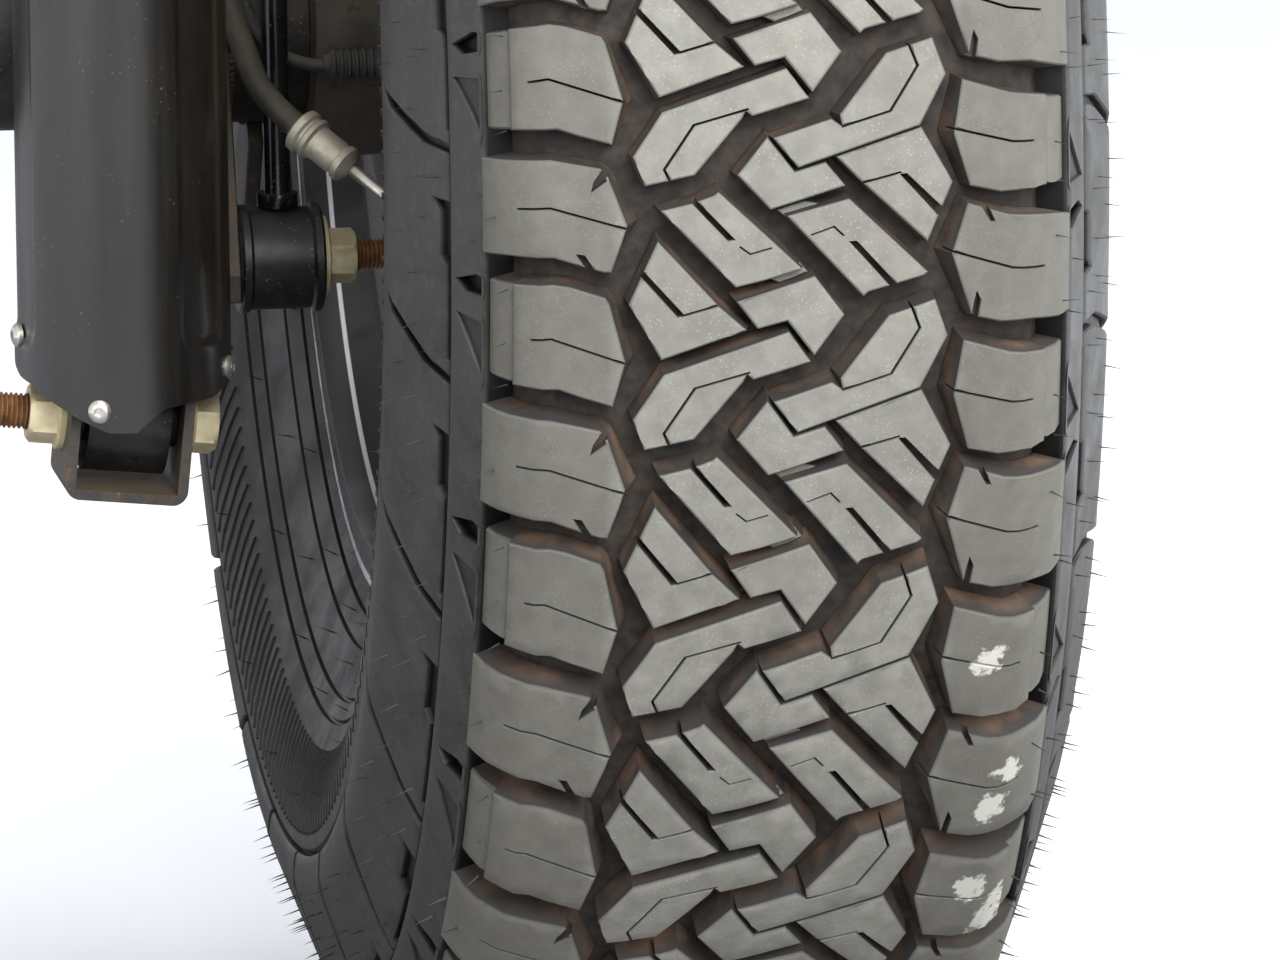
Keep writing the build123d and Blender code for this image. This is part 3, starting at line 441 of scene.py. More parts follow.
def profile_table():
    """Half width and radius at each millimetre of the profile, with its corners rounded over 4 mm."""
    along, x, r = np.array(PROFILE, float).T
    t = np.arange(0, along[-1] + 0.5, 1.0)
    window = np.hanning(9) / np.hanning(9).sum()
    rounded = [np.convolve(np.pad(np.interp(t, along, v), 4, "edge"), window, "valid") for v in (x, r)]
    rounded[0][:6] = t[:6] * x[1] / along[1]
    return t, rounded[0], rounded[1]


PROFILE_T, PROFILE_X, PROFILE_R = profile_table()
NORMAL_X = -np.gradient(PROFILE_R)
NORMAL_R = np.gradient(PROFILE_X)
NORMAL_LENGTH = np.hypot(NORMAL_X, NORMAL_R)


def turn_at(around):
    """Angle below the rearmost point of a place around the tread: its pitch swells in four waves."""
    u = around / PITCH
    wave = 2 * math.pi * PITCH_WAVES / REPEATS
    swell = np.cos(wave * (u - PITCH_PHASE)) - math.cos(wave * PITCH_PHASE)
    return START + 2 * math.pi / REPEATS * (u - PITCH_CHANGE / wave * swell)


def on_tyre(places):
    """Points in the frame for rows of (across, around, height): the profile's point moved out along
    its normal by the height, and turned about the wheel's axis."""
    across, around, height = places.T
    t = np.abs(across)
    side = np.where(across < 0, -1, 1)
    out_x = np.interp(t, PROFILE_T, NORMAL_X / NORMAL_LENGTH)
    out_r = np.interp(t, PROFILE_T, NORMAL_R / NORMAL_LENGTH)
    x = np.interp(t, PROFILE_T, PROFILE_X) + height * out_x
    r = np.interp(t, PROFILE_T, PROFILE_R) + height * out_r
    angle = turn_at(around)
    return np.stack([WHEEL_X + side * x, -r * np.cos(angle), -r * np.sin(angle)], axis=1)


def inside(points, outline):
    """Which points lie in a closed outline: a ray to the right crosses it an odd number of times."""
    a = outline
    b = np.roll(outline, -1, axis=0)
    x, y = points[:, 0, None], points[:, 1, None]
    spans = (a[:, 1] > y) != (b[:, 1] > y)
    rise = np.where(b[:, 1] == a[:, 1], 1e-9, b[:, 1] - a[:, 1])
    crossing = a[:, 0] + (y - a[:, 1]) / rise * (b[:, 0] - a[:, 0])
    return (spans & (x < crossing)).sum(axis=1) % 2 == 1


def divided(outline, step):
    """A closed outline with each side cut into equal parts of at most step."""
    parts = []
    for a, b in zip(outline, np.roll(outline, -1, axis=0)):
        count = max(1, math.ceil(np.hypot(*(b - a)[:2]) / step))
        parts.append(a + (b - a) * np.arange(count)[:, None] / count)
    return np.concatenate(parts)


def slit(path, width):
    """A narrow closed outline of that width along an open path, mitred at its bends."""
    p = np.array(path, float)
    run = np.diff(p, axis=0)
    run /= np.hypot(*run.T)[:, None]
    normal = np.stack([-run[:, 1], run[:, 0]], axis=1)
    n0 = np.vstack([normal[:1], normal])
    n1 = np.vstack([normal, normal[-1:]])
    mitre = (n0 + n1) / (1 + (n0 * n1).sum(axis=1))[:, None] * width / 2
    return np.vstack([p + mitre, (p - mitre)[::-1]])


def edge_normals(points, edges, count):
    """The mitred outward normal at each point from the directed edges that meet there."""
    a, b = edges.T
    run = points[b] - points[a]
    normal = np.stack([run[:, 1], -run[:, 0]], axis=1) / np.hypot(*run.T)[:, None]
    total = np.zeros((count, 2))
    met = np.zeros(count)
    for end in (a, b):
        np.add.at(total, end, normal)
        np.add.at(met, end, 1)
    square = (total ** 2).sum(axis=1)
    scale = np.where(met > 1, 2 / np.maximum(square, 0.5), 1.0)
    return total * np.minimum(scale, 2.0)[:, None]


FOOT = -GROOVE_DEPTH - 1.5  # blocks reach a little under the grooves' floor


def raised(outline, cuts=(), top=0.0, foot=FOOT, draft=1.8, edge=0.8, step=7.0, seams=()):
    """One raised block: its triangulated top, a narrow chamfer, and walls that slope out to its foot.

    outline has rows of (across, around) or (across, around, draft). cuts has pairs of an outline
    and a depth, for sipes, slots and recesses: each gets its own walls and floor. Between two
    regions of different height stands a wall, and a wall point moves out in proportion to its
    depth, by the draft at the foot. seams are the two values of around where a repeat joins the
    next, which get no wall. Gives (across, around, height) rows, corner rows and the depth value.
    """
    ring = np.array([(*row, draft)[:3] for row in outline], float)
    area = np.dot(ring[:, 0], np.roll(ring[:, 1], -1)) - np.dot(ring[:, 1], np.roll(ring[:, 0], -1))
    if area < 0:
        ring = ring[::-1]
    loops = [divided(ring, step)[:, :2]] + [divided(np.array(c, float)[:, :2], step) for c, unused in cuts]
    low, high = ring[:, :2].min(axis=0), ring[:, :2].max(axis=0)
    lattice = np.stack(np.meshgrid(*[np.arange(l + step / 2, h, step) for l, h in zip(low, high)]), -1)
    lattice = lattice.reshape(-1, 2)
    rim = np.concatenate(loops)
    gap = np.hypot(*(lattice[:, None] - rim[None]).transpose(2, 0, 1)).min(axis=1)
    lattice = lattice[inside(lattice, ring[:, :2]) & (gap > step * 0.45)]
    starts = np.cumsum([0] + [len(l) for l in loops])
    sides = []
    for start, loop in zip(starts, loops):
        n = np.arange(len(loop))
        sides += np.stack([start + n, start + (n + 1) % len(loop)], axis=1).tolist()
    cloud = np.concatenate([rim, lattice])
    flat, unused, tri = delaunay_2d_cdt([Vector(p) for p in cloud], sides, [], 0, 1e-4, False)[:3]
    flat, tri = np.array([tuple(p) for p in flat]), np.array([list(t) for t in tri])
    middle = flat[tri].mean(axis=1)
    kept = inside(middle, ring[:, :2])
    tri, middle = tri[kept], middle[kept]
    run = flat[tri[:, 1]] - flat[tri[:, 0]]
    other = flat[tri[:, 2]] - flat[tri[:, 0]]
    flipped = run[:, 0] * other[:, 1] - run[:, 1] * other[:, 0] < 0
    tri[flipped] = tri[flipped][:, ::-1]

    # Levels: 0 is the top, 1 the chamfer's lower edge, then one for each cut, and last the foot
    depths = [0.0, edge * 0.75] + [d for unused, d in cuts] + [top - foot]
    level = np.zeros(len(tri), int)
    for i, (cut, unused) in enumerate(cuts):
        level[inside(middle, np.array(cut, float)[:, :2])] = 2 + i
    foot_level = len(depths) - 1
    count = len(flat)
    edges = np.concatenate([tri[:, [0, 1]], tri[:, [1, 2]], tri[:, [2, 0]]])
    own = np.tile(level, 3)
    lookup = {}
    for (a, b), value in zip(edges.tolist(), own.tolist()):
        lookup[a, b] = value
    across_edge = np.array([lookup.get((b, a), foot_level) for a, b in edges.tolist()])
    keep = np.array(depths)[own] < np.array(depths)[across_edge]
    for seam in seams:
        keep &= ~(np.abs(flat[edges, 1] - seam) < 1e-3).all(axis=1)
    edges, own, across_edge = edges[keep], own[keep], across_edge[keep]

    # Where each point stands at each level
    to_ring = ring[:, :2]
    run = np.roll(to_ring, -1, axis=0) - to_ring
    share = ((flat[:, None] - to_ring) * run).sum(-1) / (run ** 2).sum(-1)
    share = np.clip(share, 0, 1)
    away = np.hypot(*(flat[:, None] - to_ring - share[..., None] * run).transpose(2, 0, 1))
    nearest = away.argmin(axis=1)
    on_ring = away.min(axis=1) < 1e-3
    s = share[np.arange(count), nearest]
    drafts = ring[nearest, 2] * (1 - s) + np.roll(ring[:, 2], -1)[nearest] * s
    reach = np.where(on_ring, drafts, 0)[:, None]
    lean = edge_normals(flat, edges[across_edge == foot_level], count) * reach
    reach = np.where(on_ring, edge, edge * 0.3)[:, None]
    inset = edge_normals(flat, edges[own == 0], count) * reach
    layers, values = [], []
    for i, depth in enumerate(depths):
        place = flat - inset if i == 0 else flat + lean * depth / depths[-1]
        layers.append(np.column_stack([place, np.full(count, top - depth)]))
        values.append(np.full(count, depth / GROOVE_DEPTH))
    caps = tri + level[:, None] * count
    base = tri[:, ::-1] + foot_level * count
    a, b = edges.T
    chamfer = own == 0
    upper = np.where(chamfer, 1, own) * count
    lower = across_edge * count
    walls = np.stack([a + upper, a + lower, b + lower, b + upper], axis=1)
    slopes = np.stack([a, a + count, b + count, b], axis=1)[chamfer]
    faces = [np.concatenate([caps, base]), np.concatenate([walls, slopes])]
    return np.concatenate(layers), faces, np.concatenate(values)


def around_tyre(parts):
    """Blocks of one repeat laid on the tyre at every repeat: points, corner rows and depth values.

    Each repeat adds one pitch to around. The tyre's surface is left-handed in (across, around,
    height) on its outboard half, and the inboard half keeps that hand, so the rows are reversed.
    """
    points, triangles, squares, values, base = [], [], [], [], 0
    for local, (tri, quad), depth in parts:
        used, number = np.unique(np.concatenate([tri.ravel(), quad.ravel()]), return_inverse=True)
        number = number.ravel()
        tri, quad = number[:tri.size].reshape(tri.shape), number[tri.size:].reshape(quad.shape)
        local, depth = local[used], depth[used]
        for k in range(REPEATS):
            points.append(on_tyre(local + [0, k * PITCH, 0]))
            triangles.append(tri[:, ::-1] + base)
            squares.append(quad[:, ::-1] + base)
            values.append(depth)
            base += len(local)
    faces = [np.concatenate(triangles), np.concatenate(squares)]
    return np.concatenate(points), faces, np.concatenate(values)


# The tread's blocks in one repeat, as (across, around) with the wall's draft where it is large.
# Cuts are slits along a path, or outlines, with their depth.
SIPE = 0.9
SIPE_DEPTH = 8.5
SLOT_DEPTH = 8.0

CENTRE_BLOCKS = (
    # hooked blocks, each round a large sipe
    (((-48, 100.5), (0, 81.5), (8.5, 96), (-13.5, 103.5), (-16, 100.8), (-17.5, 104.5), (-36, 131),
      (-55, 135.7), (-59.5, 121.5)),
     ((slit(((-15, 100.2), (-36, 107), (-47.7, 128), (-45.2, 134.5)), SIPE), SIPE_DEPTH),)),
    (((39, 76), (57, 69.5), (62, 87), (51.5, 111), (4, 129), (-5.5, 114.5), (17, 106.5), (21.5, 110.5),
      (20.5, 104.5)),
     ((slit(((21, 110.3), (40, 103.7), (51, 82.5), (47.8, 72)), SIPE), SIPE_DEPTH),)),
    # pointed blocks next to the outer grooves
    (((-50.5, 36.5), (-27, 68.5), (-16.5, 80), (-49, 93.2), (-61.5, 66.5)),
     ((((-58.5, 47.2), (-58.5, 51.2), (-42.8, 73), (-40.2, 72.3)), SLOT_DEPTH),
      (slit(((-41.2, 72.4), (-26.5, 67.6)), SIPE), SLOT_DEPTH))),
    (((19, -1.5), (52, -14), (64, 13), (54, 41), (29, 11.5)),
     ((((43.3, 8), (46, 7.9), (60.6, 26), (58.3, 29)), SLOT_DEPTH),
      (slit(((28, 11.8), (43.8, 7.2)), SIPE), SLOT_DEPTH))),
    # long slanted blocks
    (((-49, 21.8), (-36.5, 18.5), (-28.5, 15), (-27, 13.5), (5, 51.5), (-9.5, 56.5), (-20.5, 59.5)),
     ((((-37.6, 18), (-35.6, 17), (-20.8, 36.6), (-23.5, 37)), SLOT_DEPTH),
      (slit(((-19, 40), (-15, 43.7), (-6.8, 41)), 0.6), 4.0))),
    (((-0.5, 26), (23.5, 19), (54, 56), (52.5, 57.5), (31, 64), (29, 66)),
     ((((23.5, 39.5), (26.2, 39.3), (42.2, 61.2), (39.8, 62.4)), SLOT_DEPTH),
      (slit(((8.5, 35.5), (17.5, 32), (21.2, 36.5)), 0.6), 4.0))),
    # middle blocks
    (((-20, 66.5), (10, 55.5), (21.5, 74.5), (10, 93), (-0.5, 76), (-12, 79.5)), ()),
    (((-19.5, 5.5), (-8, -12), (2.5, 5), (14.5, 1), (22, 12.5), (-7, 22.5)), ()),
)
# low steps between the long blocks and the middle ones
CENTRE_STEPS = (
    ((-10.5, 55), (5, 50), (8, 54.5), (-3.5, 59.2)),
    ((-3.8, 24), (7, 20.2), (13.5, 22), (-0.5, 27.5)),
)
STEP_TOP = -5.0

PAD_TOP = -2.6             # low pads beside the narrow blocks
SHOULDER_BLOCKS = (
    (((-119, -2.2), (-91, -4), (-72, 0.7), (-69.3, 4.5, 2.5), (-62.3, 28.4, 5.5), (-64, 36, 2.5),
      (-68.3, 51), (-71, 51), (-80, 47.8), (-90, 43.7), (-110, 45), (-119, 47.2)),
     ((slit(((-104, 21), (-91, 19.5), (-61.3, 30.6)), SIPE), SIPE_DEPTH),
      (((-70.3, -0.2), (-74.5, 7), (-75.6, 12), (-69, 6)), 5.0),
      (((-81.5, 42), (-78.3, 42.6), (-74.2, 50.6), (-77.4, 49.6)), 5.0))),
    (((-106, 58.7), (-90, 56.8), (-84, 58), (-70.5, 63.4), (-69, 66.5, 2.5), (-63, 94.5, 4.5),
      (-67.5, 115.3), (-80, 110.8), (-88, 107.3), (-106, 108.2)),
     ((slit(((-99, 84.5), (-91, 83), (-62, 95.4)), SIPE), SIPE_DEPTH),)),
    (((70, 24), (72.5, 25), (86, 30.5), (97, 32), (110, 34.5), (119, 38), (119, 88), (110, 86.2),
      (96, 82.6), (83, 82.3), (71.5, 78.4), (64, 48, 5)),
     ((slit(((63.2, 46.6), (87.5, 56.6), (102, 58.5)), SIPE), SIPE_DEPTH),
      (((74.8, 25), (78, 26.4), (80.6, 33.4), (79, 33.4)), 5.0),
      (((73.4, 66.5), (75, 71), (74, 79.5), (71.2, 78.6)), 5.0))),
    (((68.5, 90), (87, 97.3), (103.6, 100), (103.6, 144.7), (83, 145.5), (71, 141.7), (65, 116, 4)),
     ((slit(((64.2, 113.4), (88, 121.3), (97, 121.8)), SIPE), SIPE_DEPTH),)),
)
SHOULDER_PADS = (
    ((-119, 60.5), (-104.5, 59.2), (-104.5, 107.8), (-119, 109.5)),
    ((102.2, 100.6), (119, 103), (119, 147), (102.2, 144.2)),
)

# The skirt closes the side grooves, with a deep diamond at every second one and a sloped facet.
SKIRT_IN = 118.0
SKIRT_OUT = 134.0
DIAMOND = ((131, 66.5), (121.5, 60), (118.2, 60.6), (118.2, 69), (120, 70), (127, 71.5))
FACET = ((130.8, 84), (118.2, 113), (118.2, 84))
MIRROR_SHIFT = 107.0       # how far on the outboard side's pattern runs

# One side lug in a repeat, between two slanted troughs and under a stepped recess
SIDE_LUG = ((134.6, 0.2), (134.6, 26.5), (145, 27), (141.4, 33), (141.4, 58), (136.4, 62), (136.4, 113),
            (134.6, 114), (134.6, 121.2), (150.7, 117.3), (164, 108.4), (174, 99.6), (190, 84), (190, -36),
            (175, -20.2), (164, -11.2), (153, -3.2))
DIAMOND_DEPTH = 5.0
FACET_DEPTH = 1.4
SIDE_DRAFT = 0.8

# Fine slanted ribs of the sidewall
HATCH_COUNT = 9
HATCH_FROM = 199.0
HATCH_TO = 232.0
HATCH_LEAN = 26.0
HATCH_WIDTH = 1.6
HATCH_TOP = 0.9
HATCH_FOOT = -0.6

# Where the carcass has its rows, across: on the grooves' floor, in the trough under the side lugs,
# at the trough's end with its height, and on the sidewall. RINGS are fine grooves round it, each
# shaped as (across from its middle, height).
GROOVE_FLOOR = (*range(0, 130, 10), 127)
TROUGH = (132, 137, *(142 + 46 * k / 9 for k in range(10)), 191)
TROUGH_END = (193, -0.6)
SIDEWALL = (196, 202, *range(206, 242, 6), 241, 249, 259, 265, 271, 282, 293, 297)
RINGS = (244.5, 254, 276, 288)
RING_SHAPE = ((-1.1, 0), (-0.5, -1.6), (0.5, -1.6), (1.1, 0))
SIDE_BELOW_R = 398.0       # below this radius the carcass has the sidewall's rubber
STEPS_A_REPEAT = 20        # of the carcass's mesh

# Roots of the moulding's hairs in one repeat, as (across, around)
HAIRS = ((119, 18), (113, 27), (142, 15), (155, 17), (152, 40), (123, 43), (148, 70), (157, 74), (108, 62),
         (109, 89), (108, 109), (159, 105), (142, 111), (168, 6), (173, 31), (167, 54), (174, 79), (212, 96),
         (250, 30), (268, 92), (284, 54), (297, 8))
HAIR_LENGTH = 8.0
HAIR_R = 0.42
HAIR_LEAN = 1.5


def tyre_pieces():
    """The tread's blocks, the shoulders, the skirts with their side lugs, and the carcass under them."""
    rubber, side = tread_rubber(), side_rubber()
    blocks = [raised(outline, cuts) for outline, cuts in CENTRE_BLOCKS]
    blocks += [raised(outline, top=STEP_TOP, edge=0.6) for outline in CENTRE_STEPS]
    made = [("tread_centre_blocks", blocks, rubber)]
    for name, sign in (("inboard", -1), ("outboard", 1)):
        ours = [b for b in SHOULDER_BLOCKS if b[0][0][0] * sign > 0]
        parts = [raised(outline, cuts) for outline, cuts in ours]
        parts += [raised(pad, top=PAD_TOP, edge=1.2) for pad in SHOULDER_PADS if pad[0][0] * sign > 0]
        made.append((f"tread_{name}_shoulder", parts, rubber))
        made.append((f"tyre_{name}_skirt", side_relief(sign), side))
    for name, parts, material in made:
        points, faces, depth = around_tyre(parts)
        piece(name, "wheel", points, faces, material, depth)
    points, faces, depth = carcass()
    made = piece("tyre_carcass", "wheel", points, faces, rubber, depth)
    made.data.materials.append(side)
    middles = np.empty(len(made.data.polygons) * 3)
    made.data.polygons.foreach_get("center", middles)
    beyond = np.hypot(middles[1::3], middles[2::3]) / MM < SIDE_BELOW_R
    made.data.polygons.foreach_set("material_index", beyond.astype(np.int32))
    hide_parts("tyre")
    hairs(side)


def side_relief(sign):
    """One side's skirt, side lug and fine ribs, in (across, around, height). The outboard side's
    pattern is the inboard side's turned by half a turn and run on round the tyre."""
    def placed(outline):
        across, around = np.array(outline, float).T
        if sign < 0:
            return np.column_stack([-across, around])
        return np.column_stack([across, MIRROR_SHIFT - around])

    skirt = ((SKIRT_IN, 0), (SKIRT_OUT, 0), (SKIRT_OUT, PITCH), (SKIRT_IN, PITCH))
    around = (0, PITCH) if sign < 0 else (MIRROR_SHIFT - PITCH, MIRROR_SHIFT)
    cuts = ((placed(DIAMOND), DIAMOND_DEPTH), (placed(FACET), FACET_DEPTH))
    parts = [raised(placed(skirt), cuts, draft=SIDE_DRAFT, edge=1.0, seams=around),
             raised(placed(SIDE_LUG), foot=-SIDE_RELIEF - 1, draft=SIDE_DRAFT, edge=1.0, step=8.0)]
    for at in np.arange(HATCH_COUNT) * PITCH / HATCH_COUNT:
        rib = slit(((HATCH_FROM, at), (HATCH_TO, at + HATCH_LEAN)), HATCH_WIDTH)
        parts.append(raised(placed(rib), top=HATCH_TOP, foot=HATCH_FOOT, draft=0.4, edge=0.4, step=12.0))
    return parts


def carcass():
    """The grooves' floor, the sidewalls and the inside in one: the profile with its height off the
    mould's face, closed by the liner and turned about the wheel's axis."""
    half = [(t, -GROOVE_DEPTH) for t in GROOVE_FLOOR] + [(t, -SIDE_RELIEF) for t in TROUGH]
    half += [TROUGH_END] + [(t, 0) for t in SIDEWALL]
    half += [(at + aside, height) for at in RINGS for aside, height in RING_SHAPE]
    half = np.array(sorted(half))
    across = np.concatenate([-half[:0:-1, 0], half[:, 0]])
    height = np.concatenate([half[:0:-1, 1], half[:, 1]])
    turns = np.arange(REPEATS * STEPS_A_REPEAT) * PITCH / STEPS_A_REPEAT
    a, t = np.meshgrid(turns, across, indexing="ij")
    h = np.broadcast_to(height, a.shape)
    outer = on_tyre(np.column_stack([t.ravel(), a.ravel(), h.ravel()])).reshape(len(turns), -1, 3)
    liner = np.array(LINER + tuple((-x, r) for x, r in LINER[-2::-1]))
    x, r = np.broadcast_to(liner.T[:, None], (2, len(turns), len(liner)))
    angle = turn_at(turns)[:, None]
    inner = np.stack([WHEEL_X + x, -r * np.cos(angle), -r * np.sin(angle)], axis=-1)
    points = np.concatenate([outer, inner], axis=1)
    depth = np.concatenate([np.clip(-h / GROOVE_DEPTH, 0, 1), np.zeros(x.shape)], axis=1)
    faces = quads(*points.shape[:2], close_rows=True, close_columns=True)
    return points.reshape(-1, 3), [faces], depth.ravel()


def hairs(rubber):
    """The thin hairs that the mould's vents leave on shoulders and sides: cones of three sides."""
    sets = [np.array(HAIRS, float) * [-1, 1], np.array(HAIRS, float)]
    sets[1][:, 1] = MIRROR_SHIFT - sets[1][:, 1]
    roots = np.concatenate(sets)
    roots = np.concatenate([roots + [0, k * PITCH] for k in range(REPEATS)])
    lean = HAIR_LEAN * np.sin(np.arange(len(roots)) * 2.4)
    corner = np.arange(3) * 2 * math.pi / 3
    ring = roots[:, None] + HAIR_R * np.stack([np.cos(corner), np.sin(corner)], axis=1)
    foot = np.dstack([ring, np.full(ring.shape[:2], -0.5)])
    tip = np.column_stack([roots[:, 0], roots[:, 1] + lean, np.full(len(roots), HAIR_LENGTH)])
    local = np.concatenate([foot, tip[:, None]], axis=1)
    base = np.arange(len(roots))[:, None] * 4
    faces = np.concatenate([base + row for row in ((0, 2, 1), (0, 1, 3), (1, 2, 3), (2, 0, 3))])
    return piece("tyre_hairs", "wheel", on_tyre(local.reshape(-1, 3)), [faces], rubber)


# Fasteners, bushings and other turned pieces, as rows of (distance along, radius, flats): where
# flats is given, the row is a hexagon of that width, cut off at the radius.

def turned(rows, at, along, ring=False, segments=48):
    """Points and corner rows of a body turned about a line from a place in the frame."""
    rows = np.array([(*row, 0)[:3] for row in rows], float)
    along = np.array(along, float) / np.linalg.norm(along)
    first = np.cross(along, (0, 0, 1) if abs(along[2]) < 0.9 else (1, 0, 0))
    first /= np.linalg.norm(first)
    second = np.cross(along, first)
    angle = np.arange(segments) * 2 * math.pi / segments
    sixth = math.pi / 6
    hexagon = 0.5 / np.cos((angle + sixth) % (2 * sixth) - sixth)
    radius = np.where(rows[:, 2:] > 0, np.minimum(rows[:, 1:2], rows[:, 2:] * hexagon), rows[:, 1:2])
    spread = np.cos(angle)[:, None] * first + np.sin(angle)[:, None] * second
    points = np.array(at, float) + rows[:, None, :1] * along + radius[..., None] * spread
    faces = quads(len(rows), segments, close_rows=ring, close_columns=True)[:, ::-1]
    return points.reshape(-1, 3), faces


def turned_piece(name, body, bodies, material, replaced=(), sharp=35.0):
    """One piece from several turned bodies."""
    points, faces, base = [], [], 0
    for body_points, body_faces in bodies:
        points.append(body_points)
        faces.append(body_faces + base)
        base += len(body_points)
    made = piece(name, body, np.concatenate(points), [np.concatenate(faces)], material, sharp=sharp)
    if replaced:
        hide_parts(*replaced)
    return made


def thread(start, end, major, pitch):
    """Rows of a screw's thread: crests and roots by turns."""
    count = round((end - start) / pitch)
    rows = []
    for k in range(count):
        s = start + k * (end - start) / count
        rows += [(s, major - 0.6 * pitch), (s + pitch * 0.42, major), (s + pitch * 0.58, major)]
    return rows + [(end, major - 0.6 * pitch)]


SHOCK_AT = (216.0, -125.0, -135.0)     # lower bolt, middle of the eye
SHOCK_TILT = 6.0                       # of the bolt, in degrees, its outboard end low
EAR_OUT = 24.0                         # outer face of the bracket's ears, from the eye's middle
SHANK = -36.0                          # where the bolt's thread ends, from the eye's middle
LINK_AT = (285.5, -60.0, -86.0)
LINK_LENGTH = 262.0
LINK_HALF = 16.5
FERRULE_AT = (286.5, -124.0, -23.9)
FERRULE_ALONG = (13.1, -10.2, -10.4)
BOOT_AT = (304.0, -62.5, -9.8)
BOOT_LENGTH = 24.0
BOOT_RIBS = 7
NUT_X = 466.0
NUT_CIRCLE = 63.5
NUT_COUNT = 5


def fasteners(finish):
    """The two bolts with their nuts, the bushings, the ferrule, the boot, and the wheel's nuts."""
    tilt = math.radians(SHOCK_TILT)
    shock_axis = (math.cos(tilt), 0, -math.sin(tilt))
    out = EAR_OUT
    bolt = [(-56, 0), (-56, 5.6)] + thread(-55.4, SHANK, 7.0, 2.0) + [(SHANK, 7), (out, 7), (out, 14),
            (out + 1.6, 14), (out + 2.8, 12.8), (out + 2.8, 12.4, 21), (out + 10.4, 12.2, 21),
            (out + 12, 10.4, 21), (out + 12, 9), (out + 11.4, 7.5), (out + 11.4, 0)]
    threaded = turned_piece("shock_bolt_detail", "axle_end", [turned(bolt, SHOCK_AT, shock_axis)],
                            finish["zinc"], ("shock_bolt",))
    threaded.data.materials.append(finish["thread"])
    own = np.array([v.co.x / MM < SHOCK_AT[0] + SHANK for v in threaded.data.vertices])
    rusty = [int(own[list(face.vertices)].all()) for face in threaded.data.polygons]
    threaded.data.polygons.foreach_set("material_index", rusty)
    nut = [(-out - 14, 7.3), (-out - 14, 9.6), (-out - 14, 10.4, 21), (-out - 12.4, 12.2, 21),
           (-out - 3, 12.4, 21), (-out - 3, 13.2), (-out - 2.4, 14), (-out, 14), (-out, 7.3)]
    turned_piece("shock_nut_detail", "axle_end", [turned(nut, SHOCK_AT, shock_axis, ring=True)],
                 finish["zinc"], ("shock_nut",))
    half = LINK_HALF
    stud = [(-half - 14, 0), (-half - 14, 9.3, 19), (-half - 13, 10.9, 19), (-half - 6, 11, 19),
            (-half - 6, 6), (half + 12, 6)]
    stud += thread(half + 12.5, half + 29.6, 6.0, 1.75) + [(half + 30, 4.6), (half + 30, 0)]
    turned_piece("link_stud_detail", "axle_end", [turned(stud, LINK_AT, (1, 0, 0))], finish["thread"],
                 ("link_stud",))
    nut = [(half, 6.3), (half, 15.2), (half + 0.5, 16), (half + 2, 16), (half + 2.5, 15.2),
           (half + 2.5, 10.8, 19), (half + 4, 11, 19), (half + 12.2, 11, 19), (half + 13.5, 9.4, 19),
           (half + 13.5, 6.3)]
    turned_piece("link_nut_detail", "axle_end", [turned(nut, LINK_AT, (1, 0, 0), ring=True)],
                 finish["zinc"], ("link_nut",))
    bush = [(-half, 6.3), (-half, 20.2), (-half + 1, 21.4), (-half + 3.6, 21.4), (-half + 4.8, 20.0),
            (half - 4.8, 20.0), (half - 3.6, 21.4), (half - 1, 21.4), (half, 20.2), (half, 6.3)]
    for name, rise in (("link_lower_eye", 0), ("link_upper_eye", LINK_LENGTH)):
        at = (LINK_AT[0], LINK_AT[1], LINK_AT[2] + rise)
        turned_piece(name + "_detail", "axle_end", [turned(bush, at, (1, 0, 0), ring=True, segments=72)],
                     finish["bush"], (name,))
    ferrule = [(0, 0), (0, 8.0), (0.8, 9), (3.6, 9), (4.6, 7.9), (5.6, 7.9), (6.4, 8.7), (8.2, 8.7),
               (9.2, 7.1), (11, 6.9), (19, 6.9), (20.4, 6.4), (21.4, 6.4), (22, 7.4), (24.6, 7.4),
               (25.6, 5.6), (27.4, 3.4), (27.4, 0)]
    turned_piece("hose_ferrule_detail", "axle_end", [turned(ferrule, FERRULE_AT, FERRULE_ALONG)],
                 finish["steel"], ("hose_ferrule",))
    ribs = [(0, 0), (0, 3.6), (2, 4.4)]
    for k in range(BOOT_RIBS):
        ribs += [(2.6 + 3 * k, 5.0), (3.4 + 3 * k, 6.0), (4.2 + 3 * k, 6.0), (5 + 3 * k, 5.0)]
    ribs += [(BOOT_LENGTH, 5.6), (BOOT_LENGTH, 0)]
    turned_piece("parking_boot_detail", "axle_end", [turned(ribs, BOOT_AT, (1, 0, 0))], finish["boot"],
                 ("parking_boot",), sharp=50)
    wheel_nut = [(0, 0), (0, 9.4), (3, 12.4), (3, 12.5, 22), (24, 12.5, 22), (30, 11.6, 22), (33, 9, 22),
                 (34, 5), (34, 0)]
    places = [math.radians(90 + 360 / NUT_COUNT * i) for i in range(NUT_COUNT)]
    bodies = [turned(wheel_nut, (NUT_X, NUT_CIRCLE * math.cos(a), NUT_CIRCLE * math.sin(a)), (1, 0, 0))
              for a in places]
    turned_piece("lug_nuts_detail", "wheel", bodies, finish["nut"], ("lug_nuts",))


GUARD_R = 42.0
GUARD_WALL = 3.5
GUARD_HALF = 96.0
GUARD_TOP = 326.0
GUARD_COLUMNS = 193
GUARD_ROWS = 150
GUARD_GATHER = 1.3                     # above 1, the rows stand closer near the lower edge
